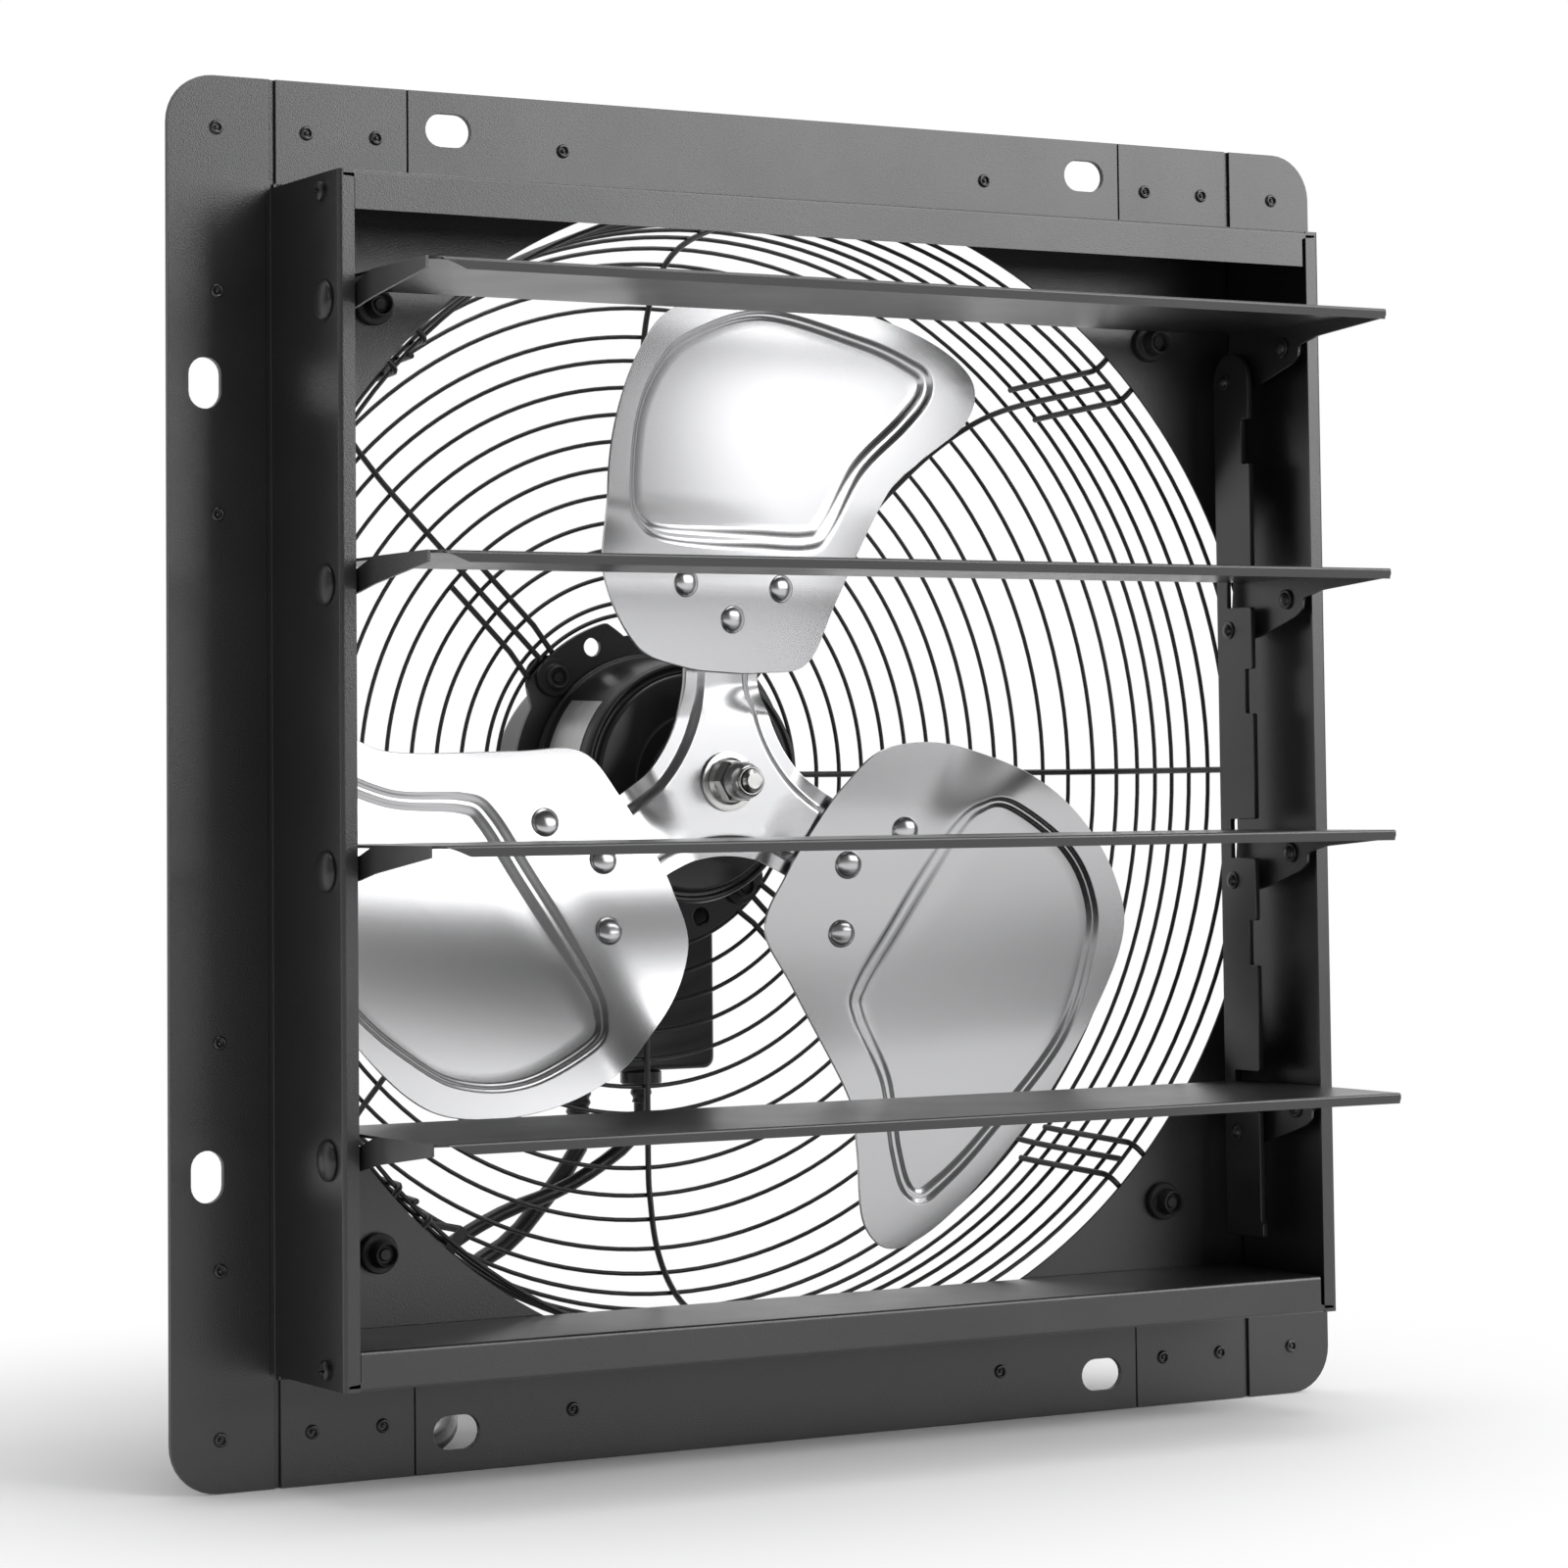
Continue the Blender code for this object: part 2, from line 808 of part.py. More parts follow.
def rail_tabs(name, level):
    """End tabs that the corner screws go through; level is 1 on the top rail and -1 below."""
    tabs = []
    for side in (1, -1):
        outer = side * (wall_inside - seat_gap)
        inner = outer - side * sheet
        low, high = sorted((inner, outer))
        bottom, top = sorted(
            (level * (half_box - rail_height + sheet / 2), level * (half_box - sheet / 2))
        )
        tab = block(
            f"{name}_tab_{'right' if side > 0 else 'left'}",
            (low, -box_depth + sheet + seat_gap, bottom),
            (high, -box_depth + sheet + seat_gap + tab_depth, top),
        )
        tabs.append(tab)
    return tabs


def rail(name, level, shelf):
    """Top or bottom of the box: web, front face and flange, with a shelf on the bottom one."""
    front = -box_depth
    face = half_box - rail_height
    section = [(sheet / 2, half_box), (front, half_box), (front, face)]
    if shelf:
        section += [(0, face), (0, face + sheet), (front + sheet, face + sheet)]
    else:
        section += [(front + sheet, face)]
    section += [(front + sheet, half_box - sheet), (sheet / 2, half_box - sheet)]
    web = plate(
        name,
        [[(y, level * z) for y, z in section]],
        2 * (wall_inside - seat_gap),
        face_x,
        (0, 0, 0),
        black_coat,
    )
    reach = flange_seam - seam_gap
    low, high = sorted((level * (half_box - sheet / 2), level * half_panel))
    outline = [(-reach, low), (reach, low), (reach, high), (-reach, high)]
    slots = [slot((place, level * slot_line), False) for place in (slot_place, -slot_place)]
    skirt = plate(f"{name}_flange", [outline, *slots], sheet, face_y, (0, sheet / 2, 0))
    heads = [(side * rail_rivet_place, level * rivet_line) for side in (1, -1)]
    ends = []
    for side, gap in ((1, rail_end_gap), (-1, seat_gap)):
        start = side * (half_box - side_return_width - gap)
        low, high = sorted((start, side * half_panel))
        ends.append(
            block(
                f"{name}_end_{'right' if side > 0 else 'left'}",
                (low, front - overrun, -half_panel),
                (high, front + sheet + seat_gap / 2, half_panel),
            )
        )
    screws = rods(
        f"{name}_screw_holes",
        [(side * wall_inside, -corner_screw_depth, level * corner_screw_line) for side in (1, -1)],
        (1, 0, 0),
        across_flats(screw_radius + seat_gap, 6),
        2 * (sheet + overrun),
        sides=6,
    )
    combine(web, "DIFFERENCE", *ends)
    combine(web, "UNION", skirt, rivet_heads(f"{name}_rivets", heads), *rail_tabs(name, level))
    combine(web, "DIFFERENCE", screws)


def corner_plate(name, side, level):
    """Filler plate that closes the flange between a rail and a side panel."""
    low_x = flange_seam + seam_gap
    high_x = side_flange_seam - seam_gap
    outline = [
        (side * low_x, level * (half_box + seat_gap)),
        (side * high_x, level * (half_box + seat_gap)),
        (side * high_x, level * half_panel),
        (side * low_x, level * half_panel),
    ]
    filler = plate(name, [outline], sheet, face_y, (0, sheet / 2, 0), black_coat)
    heads = [(side * x, level * rivet_line) for x in corner_rivet_places]
    combine(filler, "UNION", rivet_heads(f"{name}_rivets", heads))


def corner_screw(name, side, level):
    """Pan-head screw through a box side into a rail's tab."""
    outline = [
        (0, screw_head_height),
        (screw_head_radius * 0.7, screw_head_height),
        (screw_head_radius, screw_head_height / 2),
        (screw_head_radius, seat_gap),
        (screw_radius, seat_gap),
        (screw_radius, seat_gap - screw_length),
        (0, seat_gap - screw_length),
    ]
    place = (side * half_box, -corner_screw_depth, level * corner_screw_line)
    turned(name, outline, (side, 0, 0), place, 8, black_steel)


def louver_mesh():
    """One louver about its pivot: sheet, front lip, left tab with its lug, right bracket."""
    top = louver_rise_height
    front = -louver_front_reach
    back = louver_back_reach
    right = louver_half_width
    half = sheet / 2
    left = -right + half
    outline = [
        (right - half, front + half),
        (right - half, back),
        (left, back),
        (left, front + half),
    ]
    leaf = plate("louver", [outline], sheet, (0, 0, 0), (0, 0, top - half), black_coat)
    lip = plate(
        "louver_lip",
        [
            [
                (-right + lip_root_trim_width, top - half),
                (-right + lip_edge_trim_width, top - louver_lip_height),
                (right - half, top - louver_lip_height),
                (right - half, top - half),
            ]
        ],
        sheet,
        face_y,
        (0, front + half, 0),
    )
    tab = bpy.data.meshes.new("louver_left_tab")
    lug = left - left_lug_step_width
    drop = left_lug_drop_height
    run = [
        (left, front + sheet, top - left_tab_front_height, top - half),
        (left, -left_tab_front_length, top - left_tab_back_height, top - half),
        (left - left_arm_step_width, -left_arm_bend_length, -drop / 2, left_lug_rise_height),
        (lug, -left_lug_length, -drop * 0.8, left_lug_rise_height),
        (lug, -left_lug_length / 2, -drop, left_lug_rise_height),
        (lug, left_lug_length / 2, -drop, left_lug_rise_height),
        (lug, left_lug_length, -drop / 2, left_lug_rise_height),
    ]
    lowers = [(x, y, low) for x, y, low, _ in run]
    uppers = [(x, y, high) for x, y, _, high in run]
    count = len(run)
    faces = [(i, i + 1, count + i + 1, count + i) for i in range(count - 1)]
    tab.from_pydata(lowers + uppers, [], faces)
    tab_piece = add_object("louver_left_tab", tab, None)
    thicken = tab_piece.modifiers.new("thicken", "SOLIDIFY")
    thicken.thickness = sheet
    thicken.offset = 0
    thicken.use_even_offset = True
    tab_piece = settle(tab_piece, smooth=False)
    pin = (link_pin_reach, -link_pin_height)
    bracket_outline = [
        (front + half, top - half),
        (front + half, top - louver_lip_height + half),
        (-louver_front_reach * bracket_front_share, bracket_front_rise_height),
        (-bracket_lobe_length, 0),
        (-bracket_lobe_length, -bracket_lobe_height * 0.6),
        (-bracket_lobe_length * 0.6, -bracket_lobe_height),
        (bracket_tail_length, -bracket_tail_height),
        *arc(pin, link_lobe_radius, -100, 20, 5),
        (pin[0] + link_lobe_radius * 0.6, top - half),
    ]
    bracket = plate(
        "louver_bracket",
        [bracket_outline],
        sheet,
        face_x,
        (right - sheet / 2, 0, 0),
    )
    leaf = merge(leaf, "UNION", lip, tab_piece, bracket)
    pivot_holes = rods(
        "louver_pivot_holes",
        [(right, 0, 0), (lug, 0, 0)],
        (1, 0, 0),
        across_flats(pivot_radius + running_gap),
        2 * left_lug_step_width,
    )
    pin_hole = rods(
        "louver_pin_hole",
        [(right, *pin)],
        (1, 0, 0),
        across_flats(link_pin_radius + running_gap),
        2 * left_lug_step_width,
    )
    leaf = merge(leaf, "DIFFERENCE", pivot_holes, pin_hole)
    mesh = leaf.data
    bpy.context.view_layer.update()
    mesh.transform(leaf.matrix_world)
    bpy.data.objects.remove(leaf, do_unlink=True)
    return mesh


def louvers():
    mesh = louver_mesh()
    for i, height in enumerate(pivot_heights):
        add_object(f"louver_{i + 1}", mesh, None, location=(0, -pivot_depth, height))


def pivot_pin(name, side, height):
    """Rivet that carries one end of a louver: dome outside the box, shank, head inside."""
    lug_outer = louver_half_width + (left_lug_step_width if side < 0 else 0)
    inner = lug_outer - sheet - seat_gap
    outline = [
        (0, half_box + seat_gap + pivot_dome_height),
        (pivot_dome_radius * 0.5, half_box + seat_gap + pivot_dome_height),
        (pivot_dome_radius, half_box + seat_gap),
        (pivot_radius, half_box + seat_gap),
        (pivot_radius, inner),
        (pivot_head_radius, inner),
        (pivot_head_radius * 0.7, inner - pivot_head_height),
        (0, inner - pivot_head_height),
    ]
    turned(name, outline, (side, 0, 0), (0, -pivot_depth, height), 8, black_plastic)


def link_bar():
    """Upright bar with a hooked front edge, and the four pins that it turns the louvers by."""
    pin_depth = link_pin_reach - pivot_depth
    width = bar_front_distance - bar_back_distance
    top_centre = (-bar_back_distance - width / 2, top_pivot_height - width / 2)
    outline = arc(top_centre, width / 2, 0, 180, 6)
    for i, height in enumerate(pivot_heights):
        if i > 0:
            outline += [
                (-bar_front_distance, height + bar_notch_top_height),
                (-bar_notch_distance, height + bar_notch_top_height),
                (-bar_notch_distance, height - bar_notch_bottom_height),
                (-bar_lobe_distance, height - bar_notch_bottom_height),
            ]
        if i < louver_count - 1:
            outline += [
                (-bar_lobe_distance, height - bar_lobe_height),
                (-bar_relief_distance, height - bar_lobe_height),
                (-bar_relief_distance, height - bar_relief_height),
                (-bar_front_distance, height - bar_relief_height),
            ]
    foot_top = -bar_bottom + bar_foot_height
    outline += [
        (-bar_lobe_distance, foot_top),
        (-bar_front_distance - bar_foot_length, foot_top),
        (-bar_front_distance - bar_foot_length, -bar_bottom),
        (-bar_back_distance, -bar_bottom),
    ]
    first_pin = (pin_depth, top_pivot_height - link_pin_height)
    bar = plate(
        "link_bar",
        [[(y - first_pin[0], z - first_pin[1]) for y, z in outline]],
        bar_thickness,
        face_x,
        (bar_inner_face + bar_thickness / 2, *first_pin),
        black_coat,
    )
    tail = louver_half_width + seat_gap
    pins = []
    for i, height in enumerate(pivot_heights):
        profile = [
            (0, bar_inner_face - link_pin_head_height),
            (link_pin_head_radius, bar_inner_face - link_pin_head_height),
            (link_pin_head_radius, bar_inner_face + seat_gap),
            (link_pin_radius, bar_inner_face + seat_gap),
            (link_pin_radius, tail),
            (link_pin_head_radius, tail),
            (link_pin_head_radius, tail + link_pin_head_height),
            (0, tail + link_pin_head_height),
        ]
        pins.append(
            turned(
                f"link_pin_{i + 1}",
                profile,
                (1, 0, 0),
                (0, pin_depth, height - link_pin_height),
                8,
            )
        )
    combine(bar, "UNION", *pins)


def guard_stations():
    """Radius and depth of every guard ring, from the motor eye out and forward to the panel."""
    profile = [(guard_radius * r, guard_depth * d) for r, d in guard_profile_shares]

    def depth_at(radius):
        for (r0, d0), (r1, d1) in zip(profile, profile[1:]):
            if radius <= r1:
                return d0 + (d1 - d0) * max(0, radius - r0) / (r1 - r0)
        return profile[-1][1]

    def radius_at(depth):
        for (r0, d0), (r1, d1) in zip(profile, profile[1:]):
            if depth >= d1:
                return r0 + (r1 - r0) * (d0 - depth) / (d0 - d1)
        return profile[-1][0]

    back = [guard_first_ring_radius + guard_ring_pitch * i for i in range(guard_back_rings)]
    stations = [(guard_eye_radius, guard_depth)]
    stations += [(radius, depth_at(radius)) for radius in back]
    side_depths = [guard_depth * share for share in guard_side_ring_shares]
    stations += [(radius_at(depth), depth) for depth in side_depths]
    return stations


def guard():
    """Basket of rings and radial wires, with loops for the motor bolts and for the panel bolts."""
    stations = guard_stations()
    eighth = math.pi / 4
    verts = []
    index = {}

    def place(key, point):
        index[key] = len(verts)
        verts.append(point)

    def looped(band):
        """Whether loop wires run beside the diagonals between ring band and the next."""
        inner = stations[band + 1][0] <= inner_loop_reach
        outer = stations[band][1] <= outer_loop_depth
        return inner or outer

    bands = len(stations) - 1
    rings = []
    for s, (radius, depth) in enumerate(stations):
        spread = math.asin(loop_half_width / radius)
        with_loops = (s < bands and looped(s)) or (s > 0 and looped(s - 1))
        fill = 2
        ring = []
        for k in range(8):
            start, end = k * eighth, (k + 1) * eighth
            diagonal = k % 2 == 1
            ring.append((("radial", k), start))
            if with_loops and diagonal:
                ring.append((("loop", k, 1), start + spread))
                start += spread
            if with_loops and not diagonal:
                end -= spread
            ring += [(("fill", k, i), start + (end - start) * i / fill) for i in range(1, fill)]
            if with_loops and not diagonal:
                ring.append((("loop", (k + 1) % 8, -1), end))
        for key, angle in ring:
            place((s, key), (radius * math.cos(angle), depth, radius * math.sin(angle)))
        rings.append([key for key, _ in ring])

    faces = []
    for s in range(bands):
        lines = [
            key
            for key in rings[s]
            if key[0] == "radial" or (key[0] == "loop" and looped(s) and key in rings[s + 1])
        ]
        for a, b in zip(lines, (*lines[1:], lines[0])):
            spans = []
            for t in (s, s + 1):
                ring = rings[t]
                first, last = ring.index(a), ring.index(b)
                if last <= first:
                    last += len(ring)
                spans.append([index[(t, ring[i % len(ring)])] for i in range(first, last + 1)])
            faces.append(spans[0] + spans[1][::-1])

    for k in (1, 3, 5, 7):
        out = Vector((math.cos(k * eighth), 0, math.sin(k * eighth)))
        across = Vector((-out.z, 0, out.x))
        ends = (
            (0, fan_axis + out * motor_bolt_circle_radius, -1, stations[0][1]),
            (bands, out * guard_bolt_place * math.sqrt(2), 1, foot_depth),
        )
        for s, centre, sign, depth in ends:
            loop = []
            for i in range(5):
                angle = math.radians(90 - 45 * i)
                point = centre + loop_half_width * (
                    across * math.sin(angle) + out * (sign * math.cos(angle))
                )
                place(("bolt", s, k, i), (point.x, depth, point.z))
                loop.append(index[("bolt", s, k, i)])
            rim_keys = (("loop", k, -1), ("radial", k), ("loop", k, 1))
            rim = [index[(s, key)] for key in rim_keys]
            face = rim + loop
            faces.append(face if sign > 0 else face[::-1])

    mesh = bpy.data.meshes.new("wire_guard")
    mesh.from_pydata(verts, [], faces)
    basket = add_object("wire_guard", mesh, black_wire)
    wires = basket.modifiers.new("wires", "WIREFRAME")
    wires.thickness = guard_wire_diameter
    wires.use_boundary = True
    wires.use_replace = True
    wires.use_even_offset = False
    settle(basket)


def guard_bolt(name, side, level):
    """Bush and bolt at a corner of the throat: clamps a guard loop to the back panel."""
    washer = foot_depth + guard_wire_diameter / 2 + wire_clearance
    nut = washer + bolt_washer_height
    front_face = panel_front - seat_gap
    outline = [
        (0, -bolt_front_height),
        (bolt_bush_radius, -bolt_front_height),
        (bolt_bush_radius, front_face - bolt_flange_height),
        (bolt_flange_radius, front_face - bolt_flange_height),
        (bolt_flange_radius, front_face),
        (bolt_radius, front_face),
        (bolt_radius, washer),
        (bolt_washer_radius, washer),
        (bolt_washer_radius, nut),
        (bolt_nut_radius, nut),
        (bolt_nut_radius, nut + bolt_nut_height),
        (0, nut + bolt_nut_height),
    ]
    place = (side * guard_bolt_place, 0, level * guard_bolt_place)
    turned(name, outline, (0, 1, 0), place, 8, black_rubber)


def polar(radius, degrees, depth=0):
    """A point round the fan's axis, angle measured from +X towards +Z."""
    angle = math.radians(degrees)
    return on_axis((radius * math.cos(angle), depth, radius * math.sin(angle)))


def motor_ring():
    """Plate between the motor shells, with four ears that the guard loops are bolted to."""
    ear_share = (
        (-ear_half_angle - ear_ramp, 0),
        (-ear_half_angle, 1),
        (-ear_half_angle / 3, 1),
        (ear_half_angle / 3, 1),
        (ear_half_angle, 1),
        (ear_half_angle + ear_ramp, 0),
        (45, 0),
    )
    outline = []
    for quarter in range(4):
        for off, share in ear_share:
            angle = math.radians(ear_middle_angle + 90 * quarter + off)
            radius = ring_radius + (ring_ear_radius - ring_radius) * share
            outline.append((radius * math.cos(angle), radius * math.sin(angle)))
    holes = []
    for quarter in range(4):
        for angle, radius in (
            (motor_bolt_angle, across_flats(bolt_radius + seat_gap)),
            (spare_hole_angle, spare_hole_radius),
        ):
            turn = math.radians(angle + 90 * quarter)
            centre = (motor_bolt_circle_radius * math.cos(turn), motor_bolt_circle_radius * math.sin(turn))
            holes.append(circle(centre, radius, 8))
    plate(
        "motor_mount_ring",
        [outline, circle((0, 0), across_flats(stator_radius + seat_gap, 24), 24), *holes],
        ring_thickness,
        face_y,
        on_axis((0, ring_front + ring_thickness / 2, 0)),
        black_motor,
    )


def motor():
    """Two shells on the mount ring, with the stator, two bearings and the shaft inside."""
    front_end = ring_front - seat_gap
    rear_start = ring_front + ring_thickness + seat_gap
    boss = bearing_radius + running_gap
    front_shell = [
        (shell_shaft_hole_radius, shell_front),
        (shell_front_radius, shell_front),
        (shell_shoulder_radius, shell_shoulder_depth),
        (shell_back_radius, front_end),
        (stator_radius + seat_gap, front_end),
        (stator_radius + seat_gap, shell_shoulder_depth + 2 * shell_wall_thickness),
        (shell_front_radius - shell_wall_thickness, shell_front + shell_wall_thickness),
        (boss + boss_wall_thickness, shell_front + shell_wall_thickness),
        (boss + boss_wall_thickness, front_bearing_depth + bearing_width),
        (boss, front_bearing_depth + bearing_width),
        (boss, front_bearing_depth - seat_gap),
        (shell_shaft_hole_radius, front_bearing_depth - seat_gap),
    ]
    turned("motor_front_shell", front_shell, (0, 1, 0), fan_axis, 20, black_motor)
    rear_bearing_end = rear_bearing_depth + bearing_width + seat_gap
    rear_shell = [
        (0, rear_shell_back),
        (rear_shell_radius - shell_wall_thickness, rear_shell_back),
        (rear_shell_radius, rear_shell_back - shell_wall_thickness),
        (rear_shell_radius, rear_start),
        (stator_radius + seat_gap, rear_start),
        (stator_radius + seat_gap, stator_back + shell_wall_thickness),
        (rear_shell_radius - shell_wall_thickness, stator_back + 2 * shell_wall_thickness),
        (rear_shell_radius - shell_wall_thickness, rear_shell_back - shell_wall_thickness),
        (boss + boss_wall_thickness, rear_shell_back - shell_wall_thickness),
        (boss + boss_wall_thickness, rear_bearing_depth),
        (boss, rear_bearing_depth),
        (boss, rear_bearing_end),
        (shaft_radius + 2 * running_gap, rear_bearing_end),
        (shaft_radius + 2 * running_gap, shaft_end + seat_gap),
        (0, shaft_end + seat_gap),
    ]
    turned("motor_rear_shell", rear_shell, (0, 1, 0), fan_axis, 20, black_motor)
    stator = [
        (stator_bore_radius, stator_front),
        (winding_inner_radius, stator_front),
        (winding_inner_radius, stator_front - winding_length),
        (winding_outer_radius, stator_front - winding_length),
        (winding_outer_radius, stator_front),
        (stator_radius, stator_front),
        (stator_radius, stator_back),
        (winding_outer_radius, stator_back),
        (winding_outer_radius, stator_back + winding_length),
        (winding_inner_radius, stator_back + winding_length),
        (winding_inner_radius, stator_back),
        (stator_bore_radius, stator_back),
    ]
    turned("motor_stator", stator, (0, 1, 0), fan_axis, 20, steel_lamination)
    for name, depth in (("front", front_bearing_depth), ("rear", rear_bearing_depth)):
        race = [
            (shaft_radius + running_gap, depth),
            (bearing_radius, depth),
            (bearing_radius, depth + bearing_width),
            (shaft_radius + running_gap, depth + bearing_width),
        ]
        turned(f"{name}_bearing", race, (0, 1, 0), fan_axis, 14, zinc_steel)
    shoulder_start = spider_front + spider_thickness + seat_gap
    shaft = [
        (0, shaft_tip),
        (shaft_radius * 0.8, shaft_tip),
        (shaft_radius, shaft_tip + shaft_radius * 0.2),
        (shaft_radius, shoulder_start),
        (shaft_shoulder_radius, shoulder_start),
        (shaft_shoulder_radius, front_bearing_depth - seat_gap),
        (shaft_radius, front_bearing_depth - seat_gap),
        (shaft_radius, stator_front),
        (rotor_core_radius, stator_front),
        (rotor_core_radius, stator_back),
        (shaft_radius, stator_back),
        (shaft_radius, shaft_end),
        (0, shaft_end),
    ]
    turned("motor_shaft", shaft, (0, 1, 0), fan_axis, 12, zinc_steel)


def motor_bolt(name, quarter):
    """Bolt through a ring ear and a guard loop, with its bush in front and washer behind."""
    head = ring_front - seat_gap
    washer = guard_depth + guard_wire_diameter / 2 + wire_clearance
    nut = washer + bolt_washer_height
    outline = [
        (0, head - motor_bolt_flange_height - motor_bolt_head_height),
        (motor_bolt_head_radius, head - motor_bolt_flange_height - motor_bolt_head_height),
        (motor_bolt_head_radius, head - motor_bolt_flange_height),
        (motor_bolt_flange_radius, head - motor_bolt_flange_height),
        (motor_bolt_flange_radius, head),
        (bolt_radius, head),
        (bolt_radius, washer),
        (bolt_washer_radius, washer),
        (bolt_washer_radius, nut),
        (bolt_nut_radius, nut),
        (bolt_nut_radius, nut + bolt_nut_height),
        (0, nut + bolt_nut_height),
    ]
    place = polar(motor_bolt_circle_radius, motor_bolt_angle + 90 * quarter)
    turned(name, outline, (0, 1, 0), place, 6, black_steel)


def blade_depth(across, out):
    """Front-face depth of a blade: pitched and raked plane at the root, arched further out."""
    plane = blade_root_depth + blade_pitch_share * across - blade_rake_share * out
    t = min(1, max(0, (out - camber_start) / (camber_full - camber_start)))
    ease = t * t * (3 - 2 * t)
    return plane - ease * camber_height * ((across - camber_middle) / camber_width) ** 2


def blade_mesh():
    """One blade with its pressed-in panel, as loops drawn in from the outline to the middle."""
    edge = smooth_closed([Vector(p) * blade_tip_radius for p in blade_outline_shares], 2)
    panel = smooth_closed([Vector(p) * blade_tip_radius for p in emboss_outline_shares], 2)
    middle = sum(panel, Vector((0, 0))) / len(panel)
    loops = [
        [(p, 0) for p in edge],
        [(q, 0) for q in panel],
        [(middle + (q - middle) * emboss_step_share, 1) for q in panel],
    ]
    verts = []
    for loop in loops:
        for p, pressed in loop:
            verts.append((p.x, blade_depth(p.x, p.y) + pressed * emboss_depth, p.y))
    count = len(edge)
    verts.append((middle.x, blade_depth(middle.x, middle.y) + emboss_depth, middle.y))
    faces = []
    for ring in range(len(loops) - 1):
        for i in range(count):
            j = (i + 1) % count
            a, b = ring * count, (ring + 1) * count
            faces.append((a + i, a + j, b + j, b + i))
    last = (len(loops) - 1) * count
    faces += [(last + i, last + (i + 1) % count, len(verts) - 1) for i in range(count)]
    mesh = bpy.data.meshes.new("blade")
    mesh.from_pydata(verts, [], faces)
    blade = settle_facing_front(add_object("blade", mesh, bright_aluminium))
    thicken = blade.modifiers.new("thicken", "SOLIDIFY")
    thicken.thickness = blade_thickness
    thicken.offset = -1
    blade = settle(blade)
    heads = []
    for i, share in enumerate(blade_rivet_shares):
        across, out = Vector(share) * blade_tip_radius
        lean = Vector((blade_pitch_share, -1, -blade_rake_share)).normalized()
        foot = Vector((across, blade_depth(across, out), out)) - lean * blade_thickness / 2
        heads.append(
            rods(
                f"blade_rivet_{i}",
                [foot + lean * (blade_rivet_height + blade_thickness / 2) / 2],
                lean,
                blade_rivet_radius,
                blade_rivet_height + blade_thickness / 2,
                tip_radius=blade_rivet_radius * 0.55,
            )
        )
    blade = merge(blade, "UNION", *heads)
    mesh = blade.data
    bpy.data.objects.remove(blade, do_unlink=True)
    return mesh


def settle_facing_front(thing):
    """Turn an open sheet's faces towards the shutters, so that it thickens away from them."""
    shape = bmesh.new()
    shape.from_mesh(thing.data)
    bmesh.ops.recalc_face_normals(shape, faces=shape.faces)
    if sum(face.normal.y * face.calc_area() for face in shape.faces) > 0:
        bmesh.ops.reverse_faces(shape, faces=shape.faces)
    shape.to_mesh(thing.data)
    shape.free()
    return thing


def spider():
    """Three-armed pressing: flat at the hub, hollow webs between the arms, each arm set to its
    blade's pitch and widened to a round-cornered pad behind the blade's rivets."""
    half_angle = math.pi / blade_count
    web_centre = (spider_web_radius - spider_arm_half_width) / (1 - math.sin(half_angle))
    web_curve = web_centre - spider_web_radius
    centre = (web_centre * math.sin(half_angle), web_centre * math.cos(half_angle))
    corner = spider_pad_corner_radius
    corner_centre = (spider_pad_half_width - corner, spider_length - corner)
    half_arm = [
        *arc(centre, web_curve, 180 + math.degrees(math.pi / 2 - half_angle), 180, 5),
        (spider_arm_half_width, spider_neck_length),
        (spider_pad_half_width, spider_pad_start_length),
        *arc(corner_centre, corner, 0, 90, 3),
    ]
    whole_arm = [(-across, out) for across, out in half_arm] + half_arm[:0:-1]
    directions = []
    outline = []
    for arm in range(blade_count):
        turn = full_turn / blade_count * arm
        sine, cosine = math.sin(turn), math.cos(turn)
        directions.append((sine, cosine))
        outline += [
            (across * cosine + out * sine, out * cosine - across * sine) for across, out in whole_arm
        ]
    hole = across_flats(shaft_radius + running_gap, 12)
    pressing = plate("fan_spider", [outline, circle((0, 0), hole, 12)], 0, face_y, fan_axis)
    bpy.context.view_layer.update()
    shape = bmesh.new()
    shape.from_mesh(pressing.data)
    shape.transform(Matrix.Translation(-fan_axis) @ pressing.matrix_world)
    pressing.matrix_world = Matrix.Translation(fan_axis)
    for sine, cosine in directions:
        along = Vector((sine, 0, cosine))
        for bend in (spider_flat_length, spider_bend_length):
            bmesh.ops.bisect_plane(
                shape,
                geom=[*shape.verts, *shape.edges, *shape.faces],
                plane_co=along * bend,
                plane_no=along,
            )
    for vert in shape.verts:
        x, z = vert.co.x, vert.co.z
        sine, cosine = max(directions, key=lambda way: x * way[0] + z * way[1])
        across, out = x * cosine - z * sine, x * sine + z * cosine
        t = (out - spider_flat_length) / (spider_bend_length - spider_flat_length)
        t = min(1, max(0, t))
        ease = t * t * (3 - 2 * t)
        seat = blade_root_depth + blade_thickness + 2 * seat_gap
        seat += blade_pitch_share * across - blade_rake_share * out
        vert.co.y = spider_front + (seat - spider_front) * ease
    shape.to_mesh(pressing.data)
    shape.free()
    pressing.data.materials.append(bright_aluminium)
    pressing = settle_facing_front(pressing)
    thicken = pressing.modifiers.new("thicken", "SOLIDIFY")
    thicken.thickness = spider_thickness
    thicken.offset = -1
    settle(pressing)


